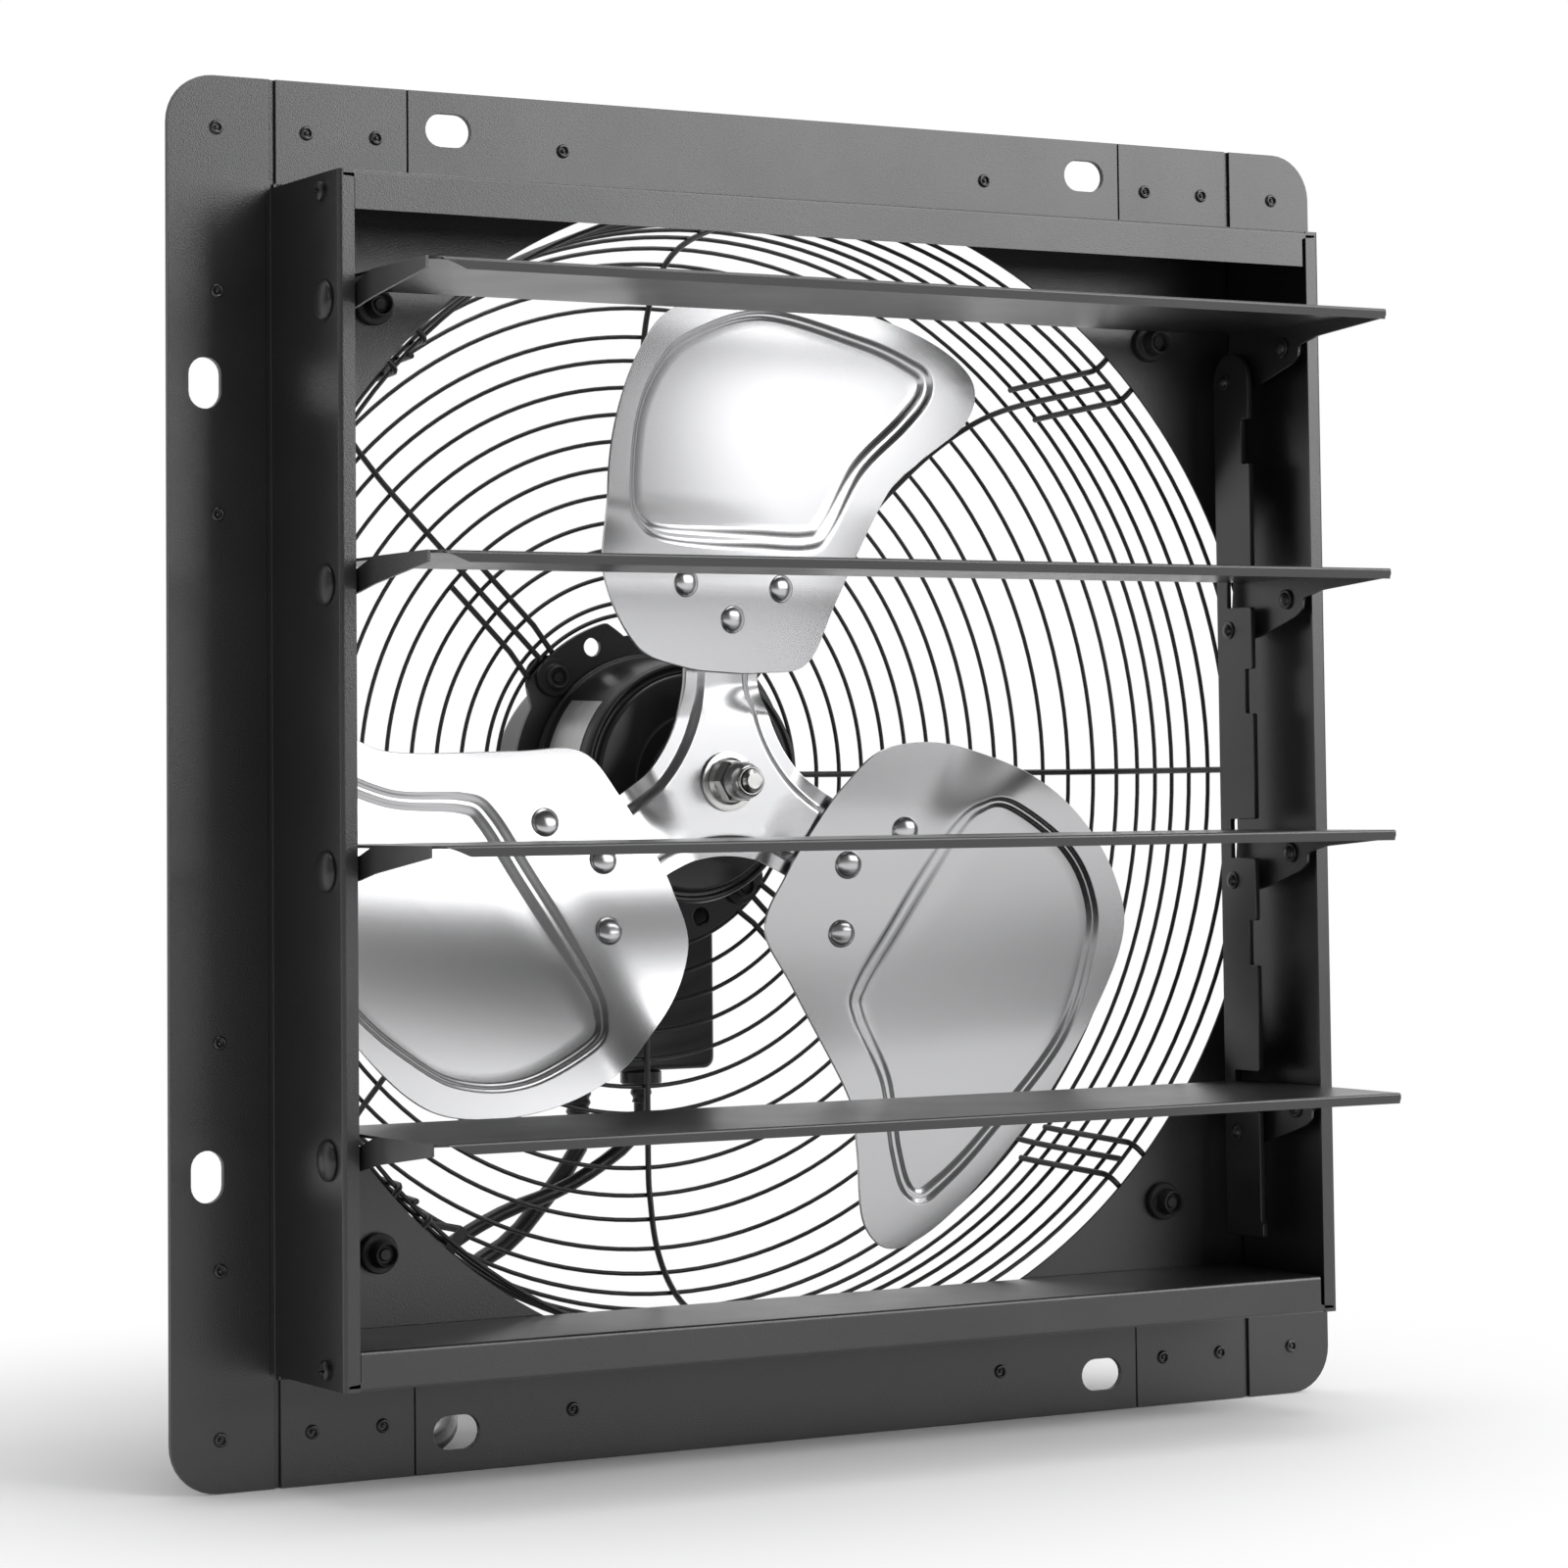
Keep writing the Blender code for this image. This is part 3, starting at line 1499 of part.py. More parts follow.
def rotor():
    """Spider, blades, washer and nut on the shaft."""
    spider()
    mesh = blade_mesh()
    for i in range(blade_count):
        turn = (0, full_turn / blade_count * i, 0)
        add_object(f"fan_blade_{i + 1}", mesh, None, turn, fan_axis)
    washer_back = spider_front - seat_gap
    washer_front = washer_back - washer_thickness
    bore = shaft_radius + running_gap
    washer = [
        (bore, washer_front),
        (washer_radius, washer_front),
        (washer_radius, washer_back),
        (bore, washer_back),
    ]
    turned("fan_washer", washer, (0, 1, 0), fan_axis, 16, zinc_steel)
    nut_back = washer_front - seat_gap
    nut = rods(
        "fan_nut",
        [(0, nut_back - nut_height / 2 - nut_collar_height / 2, 0)],
        (0, 1, 0),
        nut_corner_radius,
        nut_height,
        sides=6,
        material=zinc_steel,
        location=fan_axis,
    )
    collar = rods(
        "fan_nut_collar",
        [(0, nut_back - nut_collar_height / 2, 0)],
        (0, -1, 0),
        nut_collar_radius,
        nut_collar_height,
        sides=12,
        tip_radius=nut_corner_radius * 0.87,
        location=fan_axis,
    )
    nut_face = nut_back - nut_height - nut_collar_height / 2
    nose = rods(
        "fan_nut_nose",
        [(0, nut_face - (nut_nose_length - overrun) / 2, 0)],
        (0, -1, 0),
        nut_nose_radius,
        nut_nose_length + overrun,
        sides=12,
        tip_radius=nut_nose_tip_radius,
        location=fan_axis,
    )
    nut_tip = nut_face - nut_nose_length
    thread = rods(
        "fan_nut_thread",
        [(0, (nut_back + nut_tip) / 2, 0)],
        (0, 1, 0),
        across_flats(bore, 12),
        nut_back - nut_tip + 2 * overrun,
        sides=12,
        location=fan_axis,
    )
    combine(nut, "UNION", collar, nose)
    combine(nut, "DIFFERENCE", thread)


def capacitor_case():
    """Box under the motor, open at the back under a lid, with the run capacitor in it."""
    half = capacitor_box_width / 2
    top = -capacitor_box_top
    front = capacitor_box_front
    back = capacitor_box_front + capacitor_box_depth
    case = block(
        "capacitor_box",
        (-half, front, -capacitor_box_bottom),
        (half, back, top),
        black_plastic,
    )
    round_edges = case.modifiers.new("round_edges", "BEVEL")
    round_edges.width = capacitor_box_edge_radius
    round_edges.segments = 1
    wall = capacitor_box_wall_thickness
    hollow = block(
        "capacitor_box_hollow",
        (-half + wall, front + wall, -capacitor_box_bottom + wall),
        (half - wall, back + overrun, top - wall),
    )
    spigots = [
        rods(
            f"{name}_gland_hole",
            [(x, y, -capacitor_box_bottom)],
            (0, 0, 1),
            across_flats(gland_spigot_radius + seat_gap),
            2 * (wall + overrun),
        )
        for name, (x, y) in (("power", power_gland_place), ("control", control_gland_place))
    ]
    combine(case, "DIFFERENCE", hollow, *spigots)
    lid = block(
        "capacitor_box_lid",
        (-half, back + seat_gap, -capacitor_box_bottom),
        (half, back + seat_gap + capacitor_lid_thickness, top),
        black_plastic,
    )
    trim = lid.modifiers.new("round_edges", "BEVEL")
    trim.width = capacitor_lid_thickness / 4
    trim.segments = 1
    can = [
        (0, -capacitor_length / 2),
        (capacitor_radius, -capacitor_length / 2),
        (capacitor_radius, capacitor_length / 2),
        (0, capacitor_length / 2),
    ]
    place = (0, back - capacitor_radius - seat_gap, capacitor_height - capacitor_box_bottom)
    turned("capacitor", can, (1, 0, 0), place, 12, black_plastic)


def gland(name, place, relief_length, cord_diameter):
    """Cable gland under the capacitor box: spigot, nut and tapered strain relief. Returns the
    place where its cord starts."""
    top = -capacitor_box_bottom - seat_gap
    nut = top - gland_height
    tip = nut - relief_length
    outline = [
        (0, top + gland_spigot_height),
        (gland_spigot_radius, top + gland_spigot_height),
        (gland_spigot_radius, top),
        (gland_radius, top),
        (gland_radius, nut),
        (cord_diameter / 2 + relief_root_wall_thickness, nut),
        (cord_diameter / 2 + relief_tip_wall_thickness, tip),
        (0, tip),
    ]
    turned(name, outline, (0, 0, 1), (*place, 0), 12, black_plastic)
    return (*place, tip - seat_gap)


def coil_points(centre, front, mid_radius, diameter, turns, layers, leave, per_turn=18):
    """A coil hung in a plane along the panel: it starts at the bottom and winds towards the left,
    spirals in and out again layer by layer, and climbs a layer in the half turn round each
    reversal. Both ends run straight for one diameter, the last leaning away from the panel."""
    pitch = diameter + turn_gap
    per_layer = turns / layers
    swing = pitch * per_layer / 2
    count = round(turns * per_turn)
    points = []
    for i in range(count + 1):
        turn = turns * i / count
        layer = min(layers - 1, int(turn / per_layer))
        within = turn - layer * per_layer
        drawn = within if layer % 2 == 0 else per_layer - within
        radius = mid_radius + swing - pitch * drawn
        level = 0
        for change in range(1, layers):
            level += min(1, max(0, (turn - change * per_layer) * 2 + 0.5))
        angle = -full_turn * (turn + 0.25)
        points.append(
            Vector(
                (
                    centre[0] + radius * math.cos(angle),
                    front + level * pitch,
                    centre[1] + radius * math.sin(angle),
                )
            )
        )
    last = -full_turn * (turns + 0.25)
    away = Vector((math.sin(last), math.tan(math.radians(leave)), -math.cos(last))).normalized()
    return [points[0] + Vector((diameter, 0, 0)), *points, points[-1] + away * diameter]


def least_gap(points, diameter):
    """Least distance between turns that lie beside each other, less the diameter."""
    least = math.inf
    for i, a in enumerate(points):
        for b in points[i + 8 :]:
            least = min(least, (a - b).length)
    return least - diameter


def cord(name, start, from_gland, to_coil, diameter, coil):
    """Free tube of a cord, from its gland down to its coil behind the panel's corner."""
    wound = coil_points(*coil)
    tube(f"{name}_coil", wound, diameter, 1, black_rubber)
    arrive = (wound[1] - wound[0]).normalized()
    end = wound[0] - arrive * seat_gap
    start = Vector(start)
    ends = (start - Vector((0, 0, diameter)), end - arrive * diameter)
    route = [start + Vector(point) for point in from_gland]
    route += [wound[0] + Vector(point) for point in to_coil]
    through = [start, ends[0], *route, ends[1], end]
    path = [start, *smooth_run(through, diameter * cord_point_spacing), end]
    tube(name, path, diameter, 2, black_rubber)
    for piece, line in ((name, path), (f"{name}_coil", wound)):
        length = sum((b - a).length for a, b in zip(line, line[1:]))
        print(f"{piece}: {length:.3f} m")
    print(f"{name}_coil: least gap between turns {least_gap(wound, diameter) * 1000:.2f} mm")
    return wound[-1], (wound[-1] - wound[-2]).normalized()


def frame_at(place, direction):
    """A turned frame whose local Z points along a direction and whose local X lies across it."""
    up = direction.normalized()
    side = Vector((0, 1, 0)).cross(up).normalized()
    turn = Matrix((side, up.cross(side), up)).transposed().to_4x4()
    return Matrix.Translation(place) @ turn


def power_plug(place, direction):
    """Moulded mains plug with two flat blades and a round earth pin."""
    half_w, half_h = plug_width / 2, plug_height / 2
    stations = (
        (seat_gap, plug_taper_share * 0.6),
        (plug_length * 0.45, plug_taper_share),
        (plug_length * 0.6, 1.0),
        (plug_length + seat_gap, 1.0),
    )
    corners = 12
    verts = []
    for along, share in stations:
        for i in range(corners):
            angle = full_turn * i / corners
            u = math.copysign(abs(math.cos(angle)) ** 0.5, math.cos(angle))
            v = math.copysign(abs(math.sin(angle)) ** 0.5, math.sin(angle))
            verts.append((half_w * share * u, half_h * share * v, along))
    faces = [tuple(range(corners))[::-1], tuple(range(corners * 3, corners * 4))]
    for s in range(len(stations) - 1):
        for i in range(corners):
            j = (i + 1) % corners
            a, b = s * corners, (s + 1) * corners
            faces.append((a + i, a + j, b + j, b + i))
    mesh = bpy.data.meshes.new("power_plug")
    mesh.from_pydata(verts, [], faces)
    body = add_object("power_plug", mesh, black_rubber)
    body.matrix_world = frame_at(place, direction)
    start = plug_length - sheet
    end = plug_length + plug_pin_length
    tools = []
    for i, u in enumerate((plug_pin_distance, -plug_pin_distance)):
        tools.append(
            block(
                f"plug_blade_{i}",
                (u - plug_pin_thickness / 2, -plug_pin_width / 2, start),
                (u + plug_pin_thickness / 2, plug_pin_width / 2, end),
            )
        )
    middle = (start + plug_length + earth_pin_length) / 2
    tools.append(
        rods(
            "plug_earth_pin",
            [(0, earth_pin_distance, middle)],
            (0, 0, 1),
            earth_pin_radius,
            plug_length + earth_pin_length - start,
            sides=8,
        )
    )
    bpy.context.view_layer.update()
    for tool in tools:
        tool.matrix_world = body.matrix_world @ tool.matrix_world
    combine(body, "UNION", *tools)


def control_connector(place, direction):
    """Round screw connector on the control lead."""
    outline = [
        (0, seat_gap),
        (control_cord_diameter / 2 + relief_root_wall_thickness, seat_gap),
        (connector_radius, connector_length * 0.3),
        (connector_radius, connector_length - connector_nose_length),
        (connector_nose_radius, connector_length - connector_nose_length),
        (connector_nose_radius, connector_length),
        (0, connector_length),
    ]
    turned("control_connector", outline, direction, place, 12, black_plastic)


def cord_tie():
    """Strap that ties both coils to the guard's side rings."""
    middle = Vector(
        (
            sum(u for u, _ in tie_outline) / len(tie_outline),
            sum(v for _, v in tie_outline) / len(tie_outline),
        )
    )
    outer = [Vector(p) for p in tie_outline]
    inner = []
    for i, p in enumerate(outer):
        before, after = outer[i - 1], outer[(i + 1) % len(outer)]
        a = (p - before).normalized()
        b = (after - p).normalized()
        bisector = (b - a).normalized()
        if bisector.dot(middle - p) < 0:
            bisector = -bisector
        inner.append(p + bisector * tie_thickness / abs(bisector.cross(a)))
    turn = math.radians(tie_angle)
    out = Vector((math.cos(turn), 0, math.sin(turn)))
    matrix = Matrix((out, Vector((0, 1, 0)), out.cross(Vector((0, 1, 0))))).transposed().to_4x4()
    band = plate(
        "cord_tie",
        [[tuple(p) for p in outer], [tuple(p) for p in inner]],
        tie_width,
        (0, 0, 0),
        (0, 0, 0),
        black_plastic,
    )
    band.matrix_world = matrix


back_panel()
for side_name, side in (("left", -1), ("right", 1)):
    side_panel(f"side_panel_{side_name}", side)
rail("top_rail", 1, False)
rail("bottom_rail", -1, True)
for level_name, level in (("upper", 1), ("lower", -1)):
    for side_name, side in (("left", -1), ("right", 1)):
        corner_plate(f"corner_plate_{level_name}_{side_name}", side, level)
        corner_screw(f"corner_screw_{level_name}_{side_name}", side, level)
        guard_bolt(f"guard_bolt_{level_name}_{side_name}", side, level)
louvers()
for number, pivot_height in enumerate(pivot_heights):
    pivot_pin(f"pivot_pin_left_{number + 1}", -1, pivot_height)
    pivot_pin(f"pivot_pin_right_{number + 1}", 1, pivot_height)
link_bar()
guard()
motor_ring()
motor()
for quarter_turn in range(4):
    motor_bolt(f"motor_bolt_{quarter_turn + 1}", quarter_turn)
rotor()
capacitor_case()
power_start = gland("power_gland", power_gland_place, power_relief_length, power_cord_diameter)
control_start = gland(
    "control_gland",
    control_gland_place,
    control_relief_length,
    control_cord_diameter,
)
plug_place, plug_direction = cord(
    "power_cord",
    power_start,
    power_route_from_gland,
    power_route_to_coil,
    power_cord_diameter,
    (
        power_coil_centre,
        power_coil_depth,
        power_coil_mid_radius,
        power_cord_diameter,
        power_coil_turns,
        power_coil_layers,
        power_coil_leave,
    ),
)
power_plug(plug_place, plug_direction)
connector_place, connector_direction = cord(
    "control_lead",
    control_start,
    control_route_from_gland,
    control_route_to_coil,
    control_cord_diameter,
    (
        control_coil_centre,
        control_coil_depth,
        control_coil_mid_radius,
        control_cord_diameter,
        control_coil_turns,
        control_coil_layers,
        control_coil_leave,
    ),
)
control_connector(connector_place, connector_direction)
cord_tie()
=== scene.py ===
"""Shutter exhaust fan, dressed piece by piece in the order in which it is put together.

X is right as seen from the louvers, Y runs into the wall and Z is up, in metres. Only the points
inside mm() are in millimetres.
"""

import math

import bmesh
import bpy
import numpy as np
from mathutils import Matrix


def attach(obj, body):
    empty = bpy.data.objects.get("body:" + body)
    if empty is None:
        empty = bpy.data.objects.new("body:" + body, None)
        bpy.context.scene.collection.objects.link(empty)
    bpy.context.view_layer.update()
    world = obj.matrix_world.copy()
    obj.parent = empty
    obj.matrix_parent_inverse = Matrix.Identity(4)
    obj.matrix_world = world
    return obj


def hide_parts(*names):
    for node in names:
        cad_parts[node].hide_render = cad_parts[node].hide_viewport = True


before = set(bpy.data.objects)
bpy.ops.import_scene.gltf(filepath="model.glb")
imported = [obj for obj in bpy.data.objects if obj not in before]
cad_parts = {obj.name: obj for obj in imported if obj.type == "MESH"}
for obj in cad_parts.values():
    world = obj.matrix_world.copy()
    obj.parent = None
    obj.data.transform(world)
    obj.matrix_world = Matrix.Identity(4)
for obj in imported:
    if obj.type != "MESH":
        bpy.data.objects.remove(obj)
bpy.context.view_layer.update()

# Camera. It looks up a little from the fan's left, far enough off that the panel's upright edges
# stay nearly parallel. The lens shift keeps the fan in the frame without tilting the camera.

camera_yaw = math.radians(30.042)
camera_pitch = math.radians(3.426)
camera_roll = math.radians(-0.630)
camera_place = (-0.9675, -1.6737, -0.0090)
camera_lens = 102.62
camera_shift = -0.1643


def added(name, data):
    """A new object in the scene."""
    thing = bpy.data.objects.new(name, data)
    bpy.context.scene.collection.objects.link(thing)
    return thing


def stand(thing, place, axes):
    """Set a camera or a lamp at a place, its own x, y and z along the three axes."""
    turned = Matrix(np.column_stack(axes).tolist()).to_4x4()
    thing.matrix_world = Matrix.Translation(place) @ turned


level = math.cos(camera_pitch)
ahead = [math.sin(camera_yaw) * level, math.cos(camera_yaw) * level, math.sin(camera_pitch)]
ahead = np.array(ahead)
level_right = np.array([math.cos(camera_yaw), -math.sin(camera_yaw), 0])
level_up = np.cross(level_right, ahead)
camera_right = math.cos(camera_roll) * level_right + math.sin(camera_roll) * level_up
camera_up = math.cos(camera_roll) * level_up - math.sin(camera_roll) * level_right
camera_data = bpy.data.cameras.new("camera")
camera_data.lens = camera_lens
camera_data.shift_y = camera_shift
camera = added("camera", camera_data)
stand(camera, camera_place, [camera_right, camera_up, -ahead])
bpy.context.scene.camera = camera

# Back panel. A square of 1.2 mm steel sheet with round corners, a round throat for the rotor and
# eight slots for the wall's screws. Like all of the sheet metal it is powder coated black.

sheet = 0.0012
panel_half = 0.285
panel_corner = 0.020
panel_front = 0.0015
throat_radius = 0.2536
slot_line = 0.269
slot_place = 0.1594
slot_length = 0.021
slot_width = 0.014
guard_bolt_place = 0.1941
guard_bolt_hole = 0.0033
facing_room = ((1, 0, 0), (0, 0, 1), (0, -1, 0))
slot_of = {}


def shader_of(material):
    return material.node_tree.nodes["Principled BSDF"]


def node(tree, kind, inputs):
    """A new shader node. Each input is set to its value, or linked if that is an output."""
    made = tree.nodes.new(kind)
    for key, value in inputs.items():
        if isinstance(value, bpy.types.NodeSocket):
            tree.links.new(value, made.inputs[key])
        else:
            made.inputs[key].default_value = value
    return made


def finish(name, colour, metallic, roughness, slot=None):
    """A Principled material whose constant values sit on the shader's own sockets. Its slot is
    noted against the material's name in slot_of."""
    material = bpy.data.materials.new(name)
    material.use_nodes = True
    shader = shader_of(material)
    shader.inputs["Base Color"].default_value = (*colour, 1)
    shader.inputs["Metallic"].default_value = metallic
    shader.inputs["Roughness"].default_value = roughness
    slot_of[material.name] = slot
    return material


def grain(material, scale, stretch, detail):
    """Noise in Object coordinates; stretch multiplies the coordinates, so a small number draws
    the grain out along that axis."""
    tree = material.node_tree
    place = node(tree, "ShaderNodeTexCoord", {})
    mapping = {"Vector": place.outputs["Object"], "Scale": stretch}
    mapped = node(tree, "ShaderNodeMapping", mapping).outputs["Vector"]
    noise = {"Vector": mapped, "Scale": scale, "Detail": detail}
    return node(tree, "ShaderNodeTexNoise", noise).outputs["Fac"]


def cloud(material, scale, low, high, tones=None, stretch=(1, 1, 1), detail=3):
    """Carry the roughness from low to high as a noise goes from 0.3 to 0.7, and mottle the base
    colour between two tones."""
    tree, inputs = material.node_tree, shader_of(material).inputs
    source = grain(material, scale, stretch, detail)
    span = {"Value": source, "From Min": 0.3, "From Max": 0.7, "To Min": low, "To Max": high}
    tree.links.new(node(tree, "ShaderNodeMapRange", span).outputs["Result"], inputs["Roughness"])
    if tones:
        mix = node(tree, "ShaderNodeMix", {0: source, 6: (*tones[0], 1), 7: (*tones[1], 1)})
        mix.data_type = "RGBA"
        tree.links.new(mix.outputs[2], inputs["Base Color"])


def relief(material, scale, strength, height, stretch=(1, 1, 1), detail=3):
    """Raise the surface by a noise, by up to height metres."""
    source = grain(material, scale, stretch, detail)
    bump = {"Height": source, "Strength": strength, "Distance": height}
    bump = node(material.node_tree, "ShaderNodeBump", bump)
    material.node_tree.links.new(bump.outputs["Normal"], shader_of(material).inputs["Normal"])


def circle_line(centre, radius, count=64):
    """Point = centre + radius (cos angle, sin angle), the angle going once round."""
    angle = np.arange(count) * 2 * math.pi / count
    return np.column_stack([centre[0] + radius * np.cos(angle), centre[1] + radius * np.sin(angle)])


def slot_outline(centre, upright, count=12):
    """Two half circles set apart by the slot's length less its width."""
    angle = np.linspace(-math.pi / 2, math.pi / 2, count)
    run = (slot_length - slot_width) / 2
    end = np.column_stack([run + slot_width / 2 * np.cos(angle), slot_width / 2 * np.sin(angle)])
    loop = np.concatenate([end, -end])
    if upright:
        loop = loop[:, ::-1] * (-1, 1)
    return loop + centre


def eased(line, radius, steps=4, closed=False, measured=2, kept=0.0):
    """A line with rounded corners: corner P becomes (1-t)² A + 2t(1-t) P + t² B for t from 0 to 1,
    where A and B lie on its two sides, a radius away but never past the middle. Only the measured
    first columns count as length; further columns are carried along. kept adds a point on each
    side, that share of the radius further out."""
    line = np.asarray(line, float)

    def towards(other):
        step = other - line
        length = np.linalg.norm(step[:, :measured], axis=1)
        reach = np.minimum(radius, length / (2 + 2 * kept))
        return line + step * (reach / np.maximum(length, 1e-9))[:, None]

    start, end = towards(np.roll(line, 1, 0)), towards(np.roll(line, -1, 0))
    t = np.linspace(0, 1, steps + 1)[None, :, None]
    curve = (1 - t) ** 2 * start[:, None] + 2 * t * (1 - t) * line[:, None] + t**2 * end[:, None]
    if kept:
        before, after = start + (start - line) * kept, end + (end - line) * kept
        curve = np.concatenate([before[:, None], curve, after[:, None]], 1)
    if closed:
        return curve.reshape(-1, line.shape[1])
    return np.concatenate([line[:1], curve[1:-1].reshape(-1, line.shape[1]), line[-1:]])


def square_outline(half_width, half_height, radius, steps=10):
    """A centred rectangle with round corners, each corner a quarter of a circle."""
    angle = np.linspace(0, math.pi / 2, steps)
    quarter = np.column_stack([np.cos(angle), np.sin(angle)])
    turns = (((1, 0), (0, 1)), ((0, 1), (-1, 0)), ((-1, 0), (0, -1)), ((0, -1), (1, 0)))
    signs = ((1, 1), (-1, 1), (-1, -1), (1, -1))
    inner = np.array([half_width - radius, half_height - radius])
    loops = [radius * quarter @ np.array(turn) + inner * sign for turn, sign in zip(turns, signs)]
    return np.concatenate(loops)


def cut_sheet(loops, thickness, edge=0.0002):
    """A flat sheet with holes: the first loop is its outline. A point is (u, v) on the outline and
    w through the sheet, from -thickness/2 to thickness/2, with both rims eased by edge."""
    curve = bpy.data.curves.new("outline", "CURVE")
    curve.dimensions = "2D"
    curve.fill_mode = "BOTH"
    curve.extrude = thickness / 2 - edge
    curve.bevel_depth = edge
    curve.bevel_resolution = 0
    curve.offset = -edge
    for loop in loops:
        spline = curve.splines.new("POLY")
        spline.points.add(len(loop) - 1)
        spline.points.foreach_set("co", np.insert(np.insert(loop, 2, 0, 1), 3, 1, 1).ravel())
        spline.use_cyclic_u = True
    flat = added("outline", curve)
    bpy.context.view_layer.update()
    mesh = bpy.data.meshes.new_from_object(flat)
    points = np.empty(len(mesh.vertices) * 3)
    mesh.vertices.foreach_get("co", points)
    faces = [list(face.vertices) for face in mesh.polygons]
    bpy.data.objects.remove(flat)
    bpy.data.meshes.remove(mesh)
    return points.reshape(-1, 3), faces


def laid(shell, axes, origin=(0, 0, 0)):
    """Place a shell: point = origin + u axes[0] + v axes[1] + w axes[2]."""
    points, faces = shell
    return points @ np.array(axes, float) + origin, faces


def piece(name, shells, material, *replaces, body="housing", slot=None, sharp=32):
    """One object from closed shells: doubles merged, faces turned outwards, smooth but for edges
    sharper than the angle. It hides the nodes of the CAD that it stands for."""
    points, faces, start = [], [], 0
    for shell_points, shell_faces in shells:
        points.append(shell_points)
        faces += [[corner + start for corner in face] for face in shell_faces]
        start += len(shell_points)
    mesh = bpy.data.meshes.new(name)
    mesh.from_pydata(np.concatenate(points).tolist(), [], faces)
    shape = bmesh.new()
    shape.from_mesh(mesh)
    bmesh.ops.remove_doubles(shape, verts=shape.verts, dist=2e-6)
    bmesh.ops.recalc_face_normals(shape, faces=shape.faces)
    shape.to_mesh(mesh)
    shape.free()
    mesh.shade_smooth()
    mesh.set_sharp_from_angle(angle=math.radians(sharp))
    mesh.materials.append(material)
    thing = added(name, mesh)
    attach(thing, body)
    if replaces:
        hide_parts(*replaces)
        slot = slot or slot_of[material.name]
    return thing


powder_coat = finish("powder_coat", (0.013, 0.013, 0.014), 0, 0.30, "black_powder_coat")
shader_of(powder_coat).inputs["Specular IOR Level"].default_value = 0.85
cloud(powder_coat, 22, 0.28, 0.33, ((0.010, 0.010, 0.011), (0.016, 0.016, 0.017)), detail=2)
relief(powder_coat, 1500, 0.30, 0.0003, detail=2)

bolt_signs = [(x, z) for x in (1, -1) for z in (1, -1)]
bolt_places = [(x * guard_bolt_place, z * guard_bolt_place) for x, z in bolt_signs]
panel_loops = [
    square_outline(panel_half, panel_half, panel_corner),
    circle_line((0, 0), throat_radius, 200),
    *[slot_outline((x * slot_place, z * slot_line), False) for x, z in bolt_signs],
    *[slot_outline((x * slot_line, z * slot_place), True) for x, z in bolt_signs],
    *[circle_line(place, guard_bolt_hole, 24) for place in bolt_places],
]
back_plate = laid(cut_sheet(panel_loops, sheet), facing_room, (0, panel_front + sheet / 2, 0))
piece("panel_sheet", [back_plate], powder_coat, "back_panel")

# Box sides. Each is one sheet bent three times: a narrow return in front, the wall of the box and
# the flange that lies on the wall, with two slots and domed rivets to the back panel.

box_half = 0.240
box_front = -0.0672
return_width = 0.0068
bend_radius = 0.0010
flange_start = 0.242
rivet_line = 0.2637
stile_rivets = (0.1062, 0.1969, 0.2637)
rivet_radius = 0.003
rivet_height = 0.0013
rivet_shares = (
    ((0, -0.3), (1, -0.3), (1, 0.15), (0.93, 0.6), (0.8, 0.95), (0.68, 1), (0.56, 0.8))
    + ((0.5, 0.05), (0.34, 0.0), (0.27, 0.5), (0.14, 0.75), (0, 0.8))
)
middle = sheet / 2
sides = ((-1, "left"), (1, "right"))


def grid(points, around=False, along=False):
    """Four-sided faces over points in rows and columns; around joins the last column to the first
    and along joins the last row to the first."""
    rows, columns = points.shape[:2]
    row = np.arange(rows if along else rows - 1)[:, None]
    column = np.arange(columns if around else columns - 1)[None, :]
    next_row, next_column = (row + 1) % rows * columns, (column + 1) % columns
    row = row * columns
    corners = [row + column, row + next_column, next_row + next_column, next_row + column]
    return points.reshape(-1, 3), np.stack(corners, -1).reshape(-1, 4).tolist()


def strip(line, thickness, bend, axes, steps=5):
    """A bent strip of sheet. Each point of its middle line is (a, b, low, high): its place across
    the run, and where the strip starts and ends along the run. The two faces lie half a thickness
    to either side of the line, along its normal. axes are the directions of a, b and the run.
    A row close to each bend keeps the flats flat."""
    line = eased(line, bend, steps, kept=0.35)
    tangent = np.gradient(line[:, :2], axis=0)
    tangent /= np.linalg.norm(tangent, axis=1)[:, None]
    normal = np.column_stack([-tangent[:, 1], tangent[:, 0]]) * thickness / 2
    one, two = line[:, :2] + normal, line[:, :2] - normal
    corners = [(one, 2), (one, 3), (two, 3), (two, 2)]
    rows = np.stack([np.column_stack([side, line[:, edge]]) for side, edge in corners], 1)
    points, faces = grid(rows @ np.array(axes, float), around=True)
    last = len(points) - 4
    return points, faces + [[0, 1, 2, 3], [last, last + 1, last + 2, last + 3]]


def lathe(profile, origin, axis=(0, 1, 0), sides=40, ring=False):
    """A turned shape: point = origin + station axis + radius (cos angle e1 + sin angle e2), where
    e1 and e2 are square to the axis. ring closes the profile on itself."""
    profile = np.asarray(profile, float)
    axis = np.array(axis, float) / np.linalg.norm(axis)
    e1 = np.cross(axis, (0, 0, 1) if abs(axis[2]) < 0.9 else (1, 0, 0))
    e1 /= np.linalg.norm(e1)
    e2 = np.cross(axis, e1)
    angle = np.arange(sides) * 2 * math.pi / sides
    spoke = np.cos(angle)[:, None] * e1 + np.sin(angle)[:, None] * e2
    rows = profile[:, None, 1:2] * axis + profile[:, None, 0:1] * spoke[None]
    return grid(rows + np.array(origin, float), around=True, along=ring)


